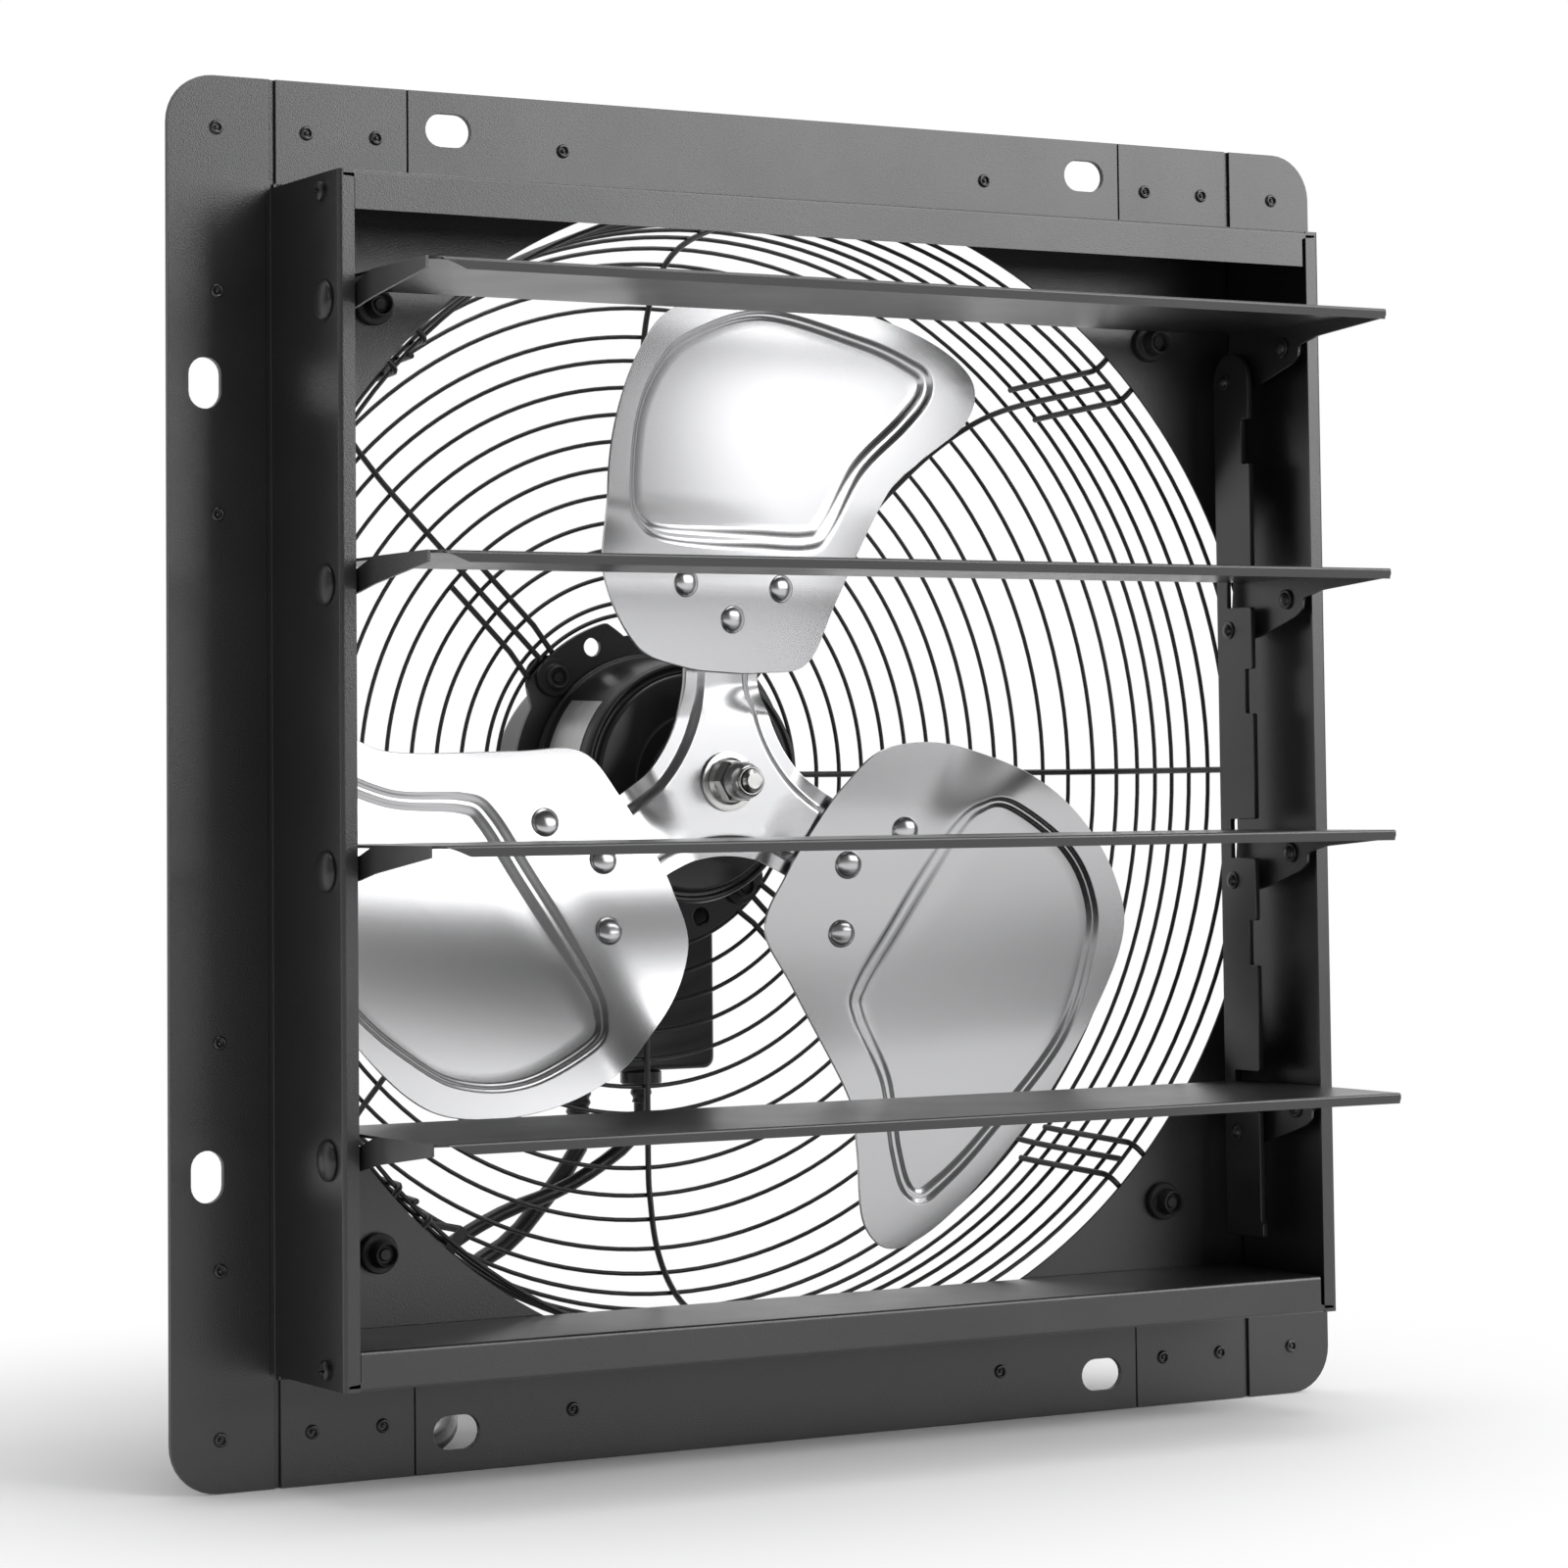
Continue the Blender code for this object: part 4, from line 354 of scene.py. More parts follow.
def dome(radius, height, count=7):
    """Profile of a low dome: radius cos t, height sin t, from the rim to the top."""
    t = np.linspace(0, math.pi / 2, count)
    return np.column_stack([radius * np.cos(t), height * np.sin(t)])


def rivet(x, z):
    """A blind rivet's head on the flange's front face: a round collar let a little into the
    sheet, and in its hole the broken end of the pin."""
    profile = np.array(rivet_shares) * (rivet_radius, rivet_height)
    return lathe(profile, (x, 0, z), (0, -1, 0), 28)


wall_line = [
    (box_half - return_width, box_front + middle, -box_half, box_half),
    (box_half - middle, box_front + middle, -box_half, box_half),
    (box_half - middle, middle, -box_half, box_half),
    (flange_start, middle, -box_half, box_half),
]
wall = strip(wall_line, sheet, bend_radius, np.eye(3))
inner = box_half + 0.0002
upper = square_outline(panel_half, panel_half, panel_corner)
upper = upper[upper[:, 0] > box_half]
upper = upper[np.argsort(upper[:, 1])]
notch = [(inner, panel_half), (inner, box_half), (flange_start, box_half)]
notch += [(flange_start, -box_half), (inner, -box_half), (inner, -panel_half)]
stile_slots = [slot_outline((slot_line, z * slot_place), True) for z in (1, -1)]
flange = cut_sheet([np.concatenate([upper, notch]), *stile_slots], sheet)
flange = laid(flange, facing_room, (0, middle, 0))
rivets = [rivet(rivet_line, sign * z) for z in stile_rivets for sign in (1, -1)]
for side, name in sides:
    shells = [laid(shell, np.diag((side, 1, 1))) for shell in (wall, flange, *rivets)]
    piece(f"box_side_{name}", shells, powder_coat, f"side_panel_{name}")

# Rails. Top and bottom of the box, each bent like the sides: flange, web and a front face. The
# bottom rail turns in once more as a shelf. End tabs take the screws through the box sides.

rail_half = 0.2385
rail_face_height = 0.0158
rail_left_end = -0.2329
rail_right_end = 0.2312
flange_seam = 0.1779
rail_rivet = 0.1057
tab_length = 0.030
tab_corner = 0.002
tab_x = 0.2379
tab_front = 0.0015


def rail(level, shelf):
    """Shells of one rail; level is 1 on top and -1 below."""
    axes = ((0, 1, 0), (0, 0, level), (1, 0, 0))
    front = box_front + middle
    face_low = box_half - rail_face_height
    face_line = [
        (front, face_low, rail_left_end, rail_right_end),
        (front, box_half - 0.0030, rail_left_end, rail_right_end),
        (front, box_half - 0.0026, -rail_half, rail_half),
        (front, box_half - middle, -rail_half, rail_half),
        (middle, box_half - middle, -rail_half, rail_half),
        (middle, flange_start, -rail_half, rail_half),
    ]
    if shelf:
        face_line[0] = (front, face_low + middle, rail_left_end, rail_right_end)
        face_line.insert(0, (0, face_low + middle, rail_left_end, rail_right_end))
    bent = strip(face_line, sheet, bend_radius, axes)
    low, high = flange_start * level, panel_half * level
    outline = [(-flange_seam, low), (flange_seam, low), (flange_seam, high), (-flange_seam, high)]
    slots = [slot_outline((x * slot_place, level * slot_line), False) for x in (1, -1)]
    flange = laid(cut_sheet([outline, *slots], sheet), facing_room, (0, middle, 0))
    tab = np.array([(0, 0), (tab_length, 0), (tab_length, 1), (0, 1)], float)
    tab = eased(tab * (1, rail_face_height - sheet), tab_corner, closed=True)
    tab = cut_sheet([tab], sheet)
    tab_place = (box_front + tab_front, level * (face_low + middle))
    tabs = [laid(tab, axes, (side * tab_x, *tab_place)) for side in (1, -1)]
    return [bent, flange, *tabs, *[rivet(x * rail_rivet, level * rivet_line) for x in (1, -1)]]


piece("rail_top", rail(1, False), powder_coat, "top_rail")
piece("rail_bottom", rail(-1, True), powder_coat, "bottom_rail")

# Corner plates and corner screws. A small plate fills the flange between each rail and side, held
# by two rivets. Cross-recessed pan-head screws hold the box sides to the rails' tabs.

corner_plate_x = (0.1785, 0.2376)
corner_rivets = (0.1926, 0.2239)
corner_screw_y = -0.051
corner_screw_z = 0.2326
screw_head_radius = 0.004
screw_head_height = 0.0026
shank = [(0, -0.006), (0.0018, -0.006), (0.002, -0.0055), (0.002, 0.0003), (0, 0.0003)]
corner_names = [
    (side, level, f"{level_name}_{side_name}")
    for side, side_name in sides
    for level, level_name in ((1, "upper"), (-1, "lower"))
]

blackened_steel = finish("blackened_steel", (0.06, 0.06, 0.062), 0.9, 0.34, "blackened_steel")
cloud(blackened_steel, 60, 0.26, 0.44)
relief(blackened_steel, 900, 0.08, 0.0002)


def cross_head(radius, height, axis, origin, sides=64):
    """A pan head with a cross recess: its height is a dome, height (1 - 0.35 (r/R)^4), less the
    recess depth where either arm of the cross covers the point, with soft walls."""
    axis = np.array(axis, float)
    e1 = np.cross(axis, (0, 0, 1) if abs(axis[2]) < 0.9 else (1, 0, 0))
    e2 = np.cross(axis, e1)
    share = np.linspace(0, 1, 22)[:, None]
    angle = (np.arange(sides) * 2 * math.pi / sides)[None, :]
    u, v = share * np.cos(angle), share * np.sin(angle)

    def arm(a, b):
        return np.clip((0.17 - abs(a)) / 0.08, 0, 1) * np.clip((0.62 - abs(b)) / 0.12, 0, 1)

    top = height * (1 - 0.35 * share**4) - 0.6 * height * np.maximum(arm(u, v), arm(v, u))
    rows = np.stack([radius * u, radius * v, top + 0 * u], -1)
    skirt = rows[-1:] * (1, 1, 0)
    rows = np.concatenate([rows, skirt, skirt * 0], 0)
    points = rows @ np.stack([e1, e2, axis]) + np.array(origin, float)
    return grid(points, around=True)


low, high = corner_plate_x
plate_outline = np.array([(low, box_half), (high, box_half), (high, panel_half), (low, panel_half)])
for side, level, name in corner_names:
    filler = cut_sheet([plate_outline * (side, level)], sheet)
    filler = laid(filler, facing_room, (0, middle, 0))
    rivets = [rivet(side * x, level * rivet_line) for x in corner_rivets]
    piece(f"corner_filler_{name}", [filler, *rivets], powder_coat, f"corner_plate_{name}")
    place = (side * box_half, corner_screw_y, level * corner_screw_z)
    head = cross_head(screw_head_radius, screw_head_height, (side, 0, 0), place)
    screw = [head, lathe(shank, place, (side, 0, 0), 20)]
    piece(f"box_screw_{name}", screw, blackened_steel, f"corner_screw_{name}")

# Louvers. Each is one sheet with a small lip turned down in front, a tab turned down on the left
# that runs back to the pivot lug, and a bracket on the right with the pivot and the link's pin.

pivot_y = -0.053
pivot_heights = (0.1888, 0.0756, -0.0376, -0.1508)
bracket_x = 0.2302
lip_bend = 0.0013
tab_bend = 0.003
bracket_corner = 0.0025
along_x = ((0, 1, 0), (0, 0, 1), (1, 0, 0))


def mm(*points):
    """Points given in millimetres, turned into metres."""
    return np.array(points, float) / 1000


louver_tab = mm(
    (-230.2, -74.3, 5.6, 10.3), (-230.2, -24.0, -0.8, 10.3), (-231.6, -11.0, -3.9, 5.5),
    (-235.9, -6.0, -6.2, 5.5), (-235.9, -3.0, -7.8, 5.5), (-235.9, 3.0, -7.8, 5.5),
    (-235.9, 6.0, -3.9, 5.5),
)
louver_leaf = mm(
    (-74.0, 5.9, -213.2, 230.2), (-74.6, 8.5, -220.0, 230.2), (-74.9, 9.7, -224.6, 230.2),
    (-73.0, 9.7, -229.8, 229.8), (36.5, 9.7, -229.8, 229.8),
)
bracket_outline = mm(
    (-74.9, 10.3), (-74.9, 6.5), (-26.4, 3.0), (-12.0, 0.0), (-12.0, -4.7), (-7.2, -7.8),
    (20.0, -16.0), (35.7, -18.7), (42.0, -16.0), (43.0, -11.5), (40.5, 10.3),
)
leaf = strip(louver_leaf, sheet, lip_bend, along_x)
tab = strip(louver_tab, sheet, tab_bend, np.eye(3), 8)
bracket = cut_sheet([eased(bracket_outline, bracket_corner, 5, True)], sheet)
bracket = laid(bracket, along_x, (bracket_x, 0, 0))
for number, height in enumerate(pivot_heights, 1):
    shells = [(points + (0, pivot_y, height), faces) for points, faces in (leaf, tab, bracket)]
    node_name = f"louver_{number}"
    piece(f"louver_blade_{number}", shells, powder_coat, node_name, body=node_name)

# Pivot pins. Each end of a louver turns on a plastic rivet with a wide, low dome outside the box
# and a head inside the lug.

pin_dome_radius = 0.00825
pin_dome_height = 0.003
pin_rim = 0.0005
pin_radius = 0.003
pin_head_radius = 0.0045
pin_clearance = 0.0003
lug_faces = (0.2365, 0.2308)

pin_plastic = finish("pin_plastic", (0.018, 0.018, 0.019), 0, 0.30, "black_plastic")
cloud(pin_plastic, 80, 0.25, 0.36)
relief(pin_plastic, 1200, 0.05, 0.0002)

for (side, name), lug in zip(sides, lug_faces):
    face = box_half + pin_clearance
    inner = lug - sheet - pin_clearance
    top = dome(pin_dome_radius, pin_dome_height - pin_rim, 10)[::-1] + (0, face + pin_rim)
    shank = [(pin_dome_radius, face), (pin_radius, face), (pin_radius, inner)]
    head = np.array([(1, 0), (1, 0.6), (0.9, 0.9), (0.68, 0.9), (0.62, 1.6), (0.4, 2.1), (0, 2.3)])
    head = head * (pin_head_radius, -0.001) + (0, inner)
    profile = np.concatenate([top, shank, head])
    for number, height in enumerate(pivot_heights, 1):
        pin = lathe(profile, (0, pivot_y, height), (side, 0, 0), 48)
        piece(f"pivot_rivet_{name}_{number}", [pin], pin_plastic, f"pivot_pin_{name}_{number}")

# Link bar. An upright flat bar inside the right ends of the louvers, cut away in front where each
# louver swings, with a pin to each louver's bracket.

bar_x = 0.2252
bar_thickness = 0.0024
bar_back = -0.0073
bar_front = -0.0340
bar_notch = -0.0154
bar_lobe = -0.0335
bar_relief = -0.0282
bar_bottom = -0.2097
bar_foot_height = 0.0067
bar_foot_nose = 0.001
bar_corner = 0.0012
bar_rim = 0.0003
link_pin_y = -0.0162
link_pin_drop = 0.0126
notch_steps = (
    (bar_front, 0.0151), (bar_notch, 0.0151), (bar_notch, -0.0026), (bar_lobe, -0.0026)
)
relief_steps = (
    (bar_lobe, -0.0305), (bar_relief, -0.0305), (bar_relief, -0.0506), (bar_front, -0.0506)
)

bar_half = (bar_back - bar_front) / 2
half_turn = np.linspace(0, math.pi, 14)
bar_top = np.column_stack([np.cos(half_turn), np.sin(half_turn)]) * bar_half
bar_top = bar_top + ((bar_back + bar_front) / 2, pivot_heights[0] - bar_half)
bar_edge = []
for number, height in enumerate(pivot_heights):
    if number > 0:
        bar_edge += [(y, height + z) for y, z in notch_steps]
    if number < len(pivot_heights) - 1:
        bar_edge += [(y, height + z) for y, z in relief_steps]
foot_top, nose = bar_bottom + bar_foot_height, bar_front - bar_foot_nose
bar_edge += [(bar_lobe, foot_top), (nose, foot_top), (nose, bar_bottom), (bar_back, bar_bottom)]
bar_loop = np.concatenate([bar_top, eased(bar_edge, bar_corner, 3)])
bar = laid(cut_sheet([bar_loop], bar_thickness, bar_rim), along_x, (bar_x, 0, 0))
pin_profile = mm(
    (0, 221.4), (1.4, 221.6), (2.4, 222.2), (2.7, 223.2), (4.0, 223.4), (4.0, 224.3),
    (2.5, 224.3), (2.5, 231.1), (4.0, 231.1), (4.0, 231.7), (3.0, 232.3), (0, 232.3),
)
link_pins = [
    lathe(pin_profile, (0, link_pin_y, height - link_pin_drop), (1, 0, 0), 28)
    for height in pivot_heights
]
piece("link_rod", [bar, *link_pins], powder_coat, "link_bar", body="linkage")

# Wire guard. A basket of steel wire, spot welded and coated black: thin rings from the motor's eye
# out to the wall panel, eight thicker radials, and loops round the motor's and panel's bolts.

ring_wire_radius = 0.0010
wire_radius = 0.0014
guard_radius = 0.249
guard_depth = 0.131
guard_eye_radius = 0.0744
guard_first_ring = 0.080
guard_ring_pitch = 0.01225
guard_back_rings = 10
guard_corner = 0.02
guard_start = 0.0055
radial_end = 0.004
guard_profile = (
    (0.743, 1.0), (0.767, 0.989), (0.841, 0.962), (0.900, 0.897),
    (0.944, 0.802), (0.968, 0.695), (0.982, 0.542), (1.0, 0.038),
)
weld_sink = 0.0021
motor_loop_offset = 0.0085
motor_loop_reach = (0.088, 0.106, 0.1285)
foot_loop_offset = 0.0095
foot_leg_depths = (0.013, 0.072)
foot_corner = 0.008
motor_axis_z = -0.0031
motor_bolt_circle = 0.0675
foot_y = 0.0043
foot_reach = guard_bolt_place * math.sqrt(2)

guard_coat = finish("guard_coat", (0.018, 0.018, 0.018), 0, 0.36, "black_guard_wire")
cloud(guard_coat, 40, 0.30, 0.44, ((0.012, 0.012, 0.012), (0.026, 0.026, 0.026)))
relief(guard_coat, 500, 0.10, 0.0003)


def wire(path, radius, across, sides=8, ring=False):
    """A round wire along a flat path: point = path + radius (cos angle side + sin angle across),
    where across is square to the path's plane and side is square to both."""
    path = np.asarray(path, float)
    if ring:
        tangent = np.roll(path, -1, 0) - np.roll(path, 1, 0)
    else:
        tangent = np.gradient(path, axis=0)
    tangent /= np.linalg.norm(tangent, axis=1)[:, None]
    across = np.array(across, float) / np.linalg.norm(across)
    side = np.cross(tangent, across)
    side /= np.linalg.norm(side, axis=1)[:, None]
    angle = (np.arange(sides) * 2 * math.pi / sides)[None, :, None]
    rows = path[:, None] + radius * (np.cos(angle) * side[:, None] + np.sin(angle) * across)
    if not ring:
        ends = [np.repeat(path[[end]][:, None], sides, 1) for end in (0, -1)]
        rows = np.concatenate([ends[0], rows, ends[1]])
    return grid(rows, around=True, along=ring)


outer_radii, outer_depths = mm(
    (201.0, 127.6), (213.8, 123.5), (224.2, 117.3), (232.4, 108.1), (238.4, 97.1), (242.1, 85.0),
    (244.0, 73.0), (245.2, 61.0), (246.2, 48.5), (247.1, 34.5), (248.0, 19.0), (248.7, 7.0),
).T
profile = np.array(guard_profile) * (guard_radius, guard_depth)
back_radii = guard_first_ring + guard_ring_pitch * np.arange(guard_back_rings)
back_depths = np.interp(back_radii, profile[:, 0], profile[:, 1])
ring_radii = np.concatenate([[guard_eye_radius], back_radii, outer_radii])
ring_depths = np.concatenate([[guard_depth], back_depths, outer_depths])

shells = []
for radius, depth in zip(ring_radii, ring_depths):
    path = np.insert(circle_line((0, 0), radius, 144), 1, depth, 1)
    shells.append(wire(path, ring_wire_radius, (0, 1, 0), ring=True))

outline = [[(guard_eye_radius, guard_depth)], profile, [(guard_radius, guard_start)]]
outline = eased(np.concatenate(outline), guard_corner, 6)
run = np.append(0, np.linalg.norm(np.diff(outline, axis=0), axis=1).cumsum())
even = np.linspace(0, run[-1], 110)
outline = np.column_stack([np.interp(even, run, outline[:, axis]) for axis in range(2)])
inward = np.gradient(outline, axis=0)
inward /= np.linalg.norm(inward, axis=1)[:, None]
inward = np.column_stack([inward[:, 1], -inward[:, 0]])
sunk = outline + inward * weld_sink
bend = np.linspace(math.pi / 2, -math.pi / 2, 12)[:, None]
shallow, deep = foot_leg_depths
side_line = sunk[(sunk[:, 1] < deep) & (sunk[:, 1] > shallow)]
toe = [(guard_radius - weld_sink, foot_y), (guard_radius + 0.0100, foot_y)]
leg_line = eased(np.concatenate([side_line, toe]), foot_corner, 6)
for number in range(8):
    angle = number * math.pi / 4
    out = np.array([math.cos(angle), 0, math.sin(angle)])
    across = np.array([-math.sin(angle), 0, math.cos(angle)])
    line = sunk if number % 2 else sunk[sunk[:, 0] > guard_eye_radius]
    line = line[line[:, 1] > radial_end]
    path = line[:, :1] * out + line[:, 1:] * (0, 1, 0)
    shells.append(wire(path, wire_radius, across))
    if number % 2 == 0:
        continue
    motor_bolt = np.array([0, guard_depth, motor_axis_z]) + out * motor_bolt_circle
    inner = motor_bolt + motor_loop_offset * (across * np.sin(bend) - out * np.cos(bend))
    legs = np.array(motor_loop_reach)[:, None] * out + (0, guard_depth - weld_sink, 0)
    aside = across * motor_loop_offset
    loop = np.concatenate([(legs + aside)[::-1], inner, legs - aside])
    shells.append(wire(loop, wire_radius, (0, 1, 0)))
    leg = leg_line[:, :1] * out + leg_line[:, 1:] * (0, 1, 0)
    for side in (1, -1):
        shells.append(wire(leg + across * foot_loop_offset * side, wire_radius, across))
    foot = np.array([0, foot_y, 0]) + out * foot_reach
    outer = foot + foot_loop_offset * (across * np.sin(bend) + out * np.cos(bend))
    back = out * (guard_radius + 0.0080 - foot_reach)
    outer = np.concatenate([outer[:1] + back, outer, outer[-1:] + back])
    shells.append(wire(outer, wire_radius, (0, 1, 0)))
piece("guard_basket", shells, guard_coat, "wire_guard", sharp=50)

# Guard bolts. A rubber bush sits in the panel's hole at each corner, and its bolt clamps the
# guard's foot behind the panel under a washer and a nut.

bolt_nut_radius = 0.0060
bolt_nut_height = 0.0050

bush_rubber = finish("bush_rubber", (0.016, 0.016, 0.016), 0, 0.55, "black_rubber")
cloud(bush_rubber, 120, 0.45, 0.65, ((0.010, 0.010, 0.010), (0.024, 0.023, 0.022)))
relief(bush_rubber, 1500, 0.08, 0.0002)


def hexagon_nut(radius, low, high, origin, bore=0.0):
    """A six-sided nut between two stations, its corners cut back by a chamfer on both faces."""
    chamfer = (high - low) * 0.16
    face = radius * 0.86
    profile = [(bore, low), (face, low), (radius, low + chamfer)]
    profile += [(radius, high - chamfer), (face, high), (bore, high)]
    return lathe(profile, origin, sides=6, ring=bore > 0)


def bolt(bush, stud_start, low, crest, high, place):
    """Shells of a bolt: its bush, its washer from low to high, the nut on that and the stud, in
    millimetres along the bolt."""
    end = high + 6.2
    washer = mm((3.0, low), (10.3, low), (10.5, crest), (10.3, high), (3.0, high))
    stud = mm((0, stud_start), (2.9, stud_start), (2.9, end - 0.5), (2.4, end), (0, end))
    seat = high / 1000
    nut = hexagon_nut(bolt_nut_radius, seat, seat + bolt_nut_height, place)
    return [lathe(bush, place), lathe(washer, place, ring=True), nut, lathe(stud, place, sides=20)]


guard_bush = mm(
    (0, -7.2), (2.2, -7.2), (2.6, -6.8), (2.8, -6.2), (3.6, -6.2), (3.8, -8.2), (4.4, -9.0),
    (5.0, -8.8), (5.3, -8.0), (5.4, -2.4), (6.0, -1.9), (7.8, -1.8), (8.3, -1.2), (8.3, 1.2),
    (3.0, 1.2), (3.0, 6.4), (0, 6.4),
)
for side, level, name in corner_names:
    place = (side * guard_bolt_place, 0, level * guard_bolt_place)
    shells = bolt(guard_bush, 6.0, 6.6, 7.2, 8.1, place)
    piece(f"guard_bush_{name}", shells, bush_rubber, f"guard_bolt_{name}")

# Motor. Two painted steel shells clamp a mount ring whose four ears are bolted to the guard. The
# stator, bearings and rotor core are inside; the shaft comes out in front through the shell.

fan_axis = np.array([0, 0, motor_axis_z])
ring_radius = 0.0677
ring_bore = 0.0504
ear_radius = 0.0755
ear_middle = 124.5
ear_bend = (
    (-25, 0), (-19, 1), (-9, 1), (0, 1), (9, 1), (19, 1), (25, 0), (35, 0), (45, 0), (55, 0)
)
ring_middle_y = 0.128
ring_thickness = 0.0026
ear_holes = ((135, 0.0033), (114, 0.00425))

motor_paint = finish("motor_paint", (0.016, 0.016, 0.017), 0, 0.30, "black_motor_paint")
cloud(motor_paint, 30, 0.24, 0.36, ((0.011, 0.011, 0.012), (0.022, 0.022, 0.023)))
relief(motor_paint, 700, 0.06, 0.0002)

ear_angles, ear_shares = np.array(ear_bend).T
ring_angles = np.radians((ear_middle + ear_angles + 90 * np.arange(4)[:, None]).ravel())
ring_reach = np.tile(ring_radius + (ear_radius - ring_radius) * ear_shares, 4)
full_turn = ring_angles[0] + 2 * math.pi
fine_angles = np.linspace(ring_angles[0], full_turn, 320, endpoint=False)
known_angles, known_reach = np.append(ring_angles, full_turn), np.append(ring_reach, ring_reach[0])
fine_reach = np.interp(fine_angles, known_angles, known_reach)
ring_outline = np.column_stack([np.cos(fine_angles), np.sin(fine_angles)]) * fine_reach[:, None]
ring_loops = [ring_outline, circle_line((0, 0), ring_bore, 96)]
for quarter in range(4):
    for degrees, radius in ear_holes:
        turn = math.radians(degrees + 90 * quarter)
        centre = (motor_bolt_circle * math.cos(turn), motor_bolt_circle * math.sin(turn))
        ring_loops.append(circle_line(centre, radius, 32))
ring_place = fan_axis + (0, ring_middle_y, 0)
mount_ring = laid(cut_sheet(ring_loops, ring_thickness), facing_room, ring_place)
piece("mount_ring", [mount_ring], motor_paint, "motor_mount_ring")

front_shell = mm(
    (8.5, 83.6), (8.5, 82.2), (10.5, 81.0), (22.4, 81.0), (22.9, 80.6), (23.4, 81.0),
    (29.7, 81.0), (30.2, 80.6), (30.7, 81.0), (47.9, 81.0), (48.8, 82.2), (49.2, 84.0),
    (51.2, 84.0), (52.0, 82.6), (53.8, 83.0), (54.6, 86.0), (56.6, 121.5), (56.9, 123.5),
    (58.6, 124.0), (58.6, 126.4), (50.4, 126.4), (50.4, 88.0), (45.8, 83.6),
)
front_shell = eased(front_shell, 0.0008, 3, closed=True)
front_shell = lathe(front_shell, fan_axis, sides=120, ring=True)
piece("front_motor_shell", [front_shell], motor_paint, "motor_front_shell")
rear_shell = mm(
    (0, 175.0), (15.0, 175.0), (17.0, 173.5), (30.0, 173.5), (32.0, 175.0), (51.5, 175.0),
    (56.0, 171.5), (56.4, 169.0), (56.4, 133.0), (58.0, 132.6), (58.0, 129.9), (0, 129.9),
)
rear_shell = lathe(eased(rear_shell, 0.0012, 3), fan_axis, sides=120)
piece("rear_motor_shell", [rear_shell], motor_paint, "motor_rear_shell")

plate_metal = finish("plate_metal", (0.62, 0.62, 0.62), 0.8, 0.38)
cloud(plate_metal, 300, 0.32, 0.46, stretch=(1, 1, 0.1))
plate_angle = np.radians(np.linspace(139, 196, 30))[:, None]
plate_run = np.linspace(0.0905, 0.1175, 6)[None, :]
plate_radius = np.interp(plate_run, [0.0860, 0.1215], [0.0546, 0.0566])
faces_of_plate = []
for lift in (0.00035, -0.0002):
    radius = plate_radius + lift
    rows = [radius * np.cos(plate_angle), plate_run + 0 * plate_angle, radius * np.sin(plate_angle)]
    faces_of_plate.append(np.stack(rows, -1))
outer_face, inner_face = faces_of_plate
plate_rows = np.concatenate([outer_face, inner_face[:, ::-1]], 1)
plate_points, plate_faces = grid(plate_rows + fan_axis, around=True)
first_row = list(range(plate_rows.shape[1]))
last_row = [len(plate_points) - len(first_row) + corner for corner in first_row]
piece("bare_plate", [(plate_points, plate_faces + [first_row, last_row])], plate_metal)


def refinished(name, material):
    """Give a node of the CAD that stays in the scene its own finish."""
    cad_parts[name].data.materials.clear()
    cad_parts[name].data.materials.append(material)


lamination = finish("stator_lamination", (0.36, 0.36, 0.37), 1, 0.45)
cloud(lamination, 200, 0.35, 0.6, stretch=(1, 12, 1))
refinished("motor_stator", lamination)
bearing_steel = finish("bearing_steel", (0.6, 0.6, 0.6), 1, 0.25)
cloud(bearing_steel, 150, 0.18, 0.34)
refinished("front_bearing", bearing_steel)
refinished("rear_bearing", bearing_steel)

motor_bush = mm(
    (0, 121.2), (2.2, 121.2), (2.7, 122.0), (3.6, 122.0), (4.0, 120.3), (4.7, 120.0),
    (5.3, 120.8), (5.4, 123.8), (6.2, 124.3), (8.3, 124.3), (8.6, 125.0), (8.5, 126.4),
    (3.0, 126.4), (3.0, 133.0), (0, 133.0),
)
for number in range(4):
    turn = math.radians(135 + 90 * number)
    place = fan_axis + motor_bolt_circle * np.array([math.cos(turn), 0, math.sin(turn)])
    shells = bolt(motor_bush, 132.5, 133.3, 134.0, 134.8, place)
    name, node_name = f"motor_bush_{number + 1}", f"motor_bolt_{number + 1}"
    piece(name, shells, bush_rubber, node_name, slot="blackened_steel")

# Shaft, washer and nut. Zinc-plated steel: the shaft carries the rotor core behind and the spider
# in front, clamped by a thick washer and a lock nut with a tapered collar.

nut_radius = 0.0100
nut_front = 0.0394
nut_back = 0.0482
nut_bore = 0.0053

zinc_plate = finish("zinc_plate", (0.62, 0.62, 0.61), 1, 0.20, "zinc_plated_steel")
cloud(zinc_plate, 180, 0.19, 0.23, ((0.59, 0.59, 0.58), (0.65, 0.65, 0.64)))
shaft = mm(
    (0, 27.1), (3.4, 27.1), (3.6, 27.4), (4.4, 28.3), (5.0, 28.9), (5.0, 54.6), (7.5, 55.0),
    (7.5, 85.2), (5.0, 85.2), (5.0, 105.0), (28.5, 105.0), (28.5, 145.0), (5.0, 145.0),
    (5.0, 170.0), (0, 170.0),
)
piece("fan_shaft", [lathe(shaft, fan_axis, sides=48)], zinc_plate, "motor_shaft", body="rotor")
washer = mm((5.3, 49.9), (13.2, 49.9), (13.2, 51.5), (5.3, 51.5))
washer = lathe(eased(washer, 0.0003, 3, closed=True), fan_axis, sides=72, ring=True)
piece("thick_washer", [washer], zinc_plate, "fan_washer", body="rotor")
nut_seat = mm((5.3, 47.2), (9.2, 47.2), (10.5, 49.2), (10.5, 49.6), (5.3, 49.6))
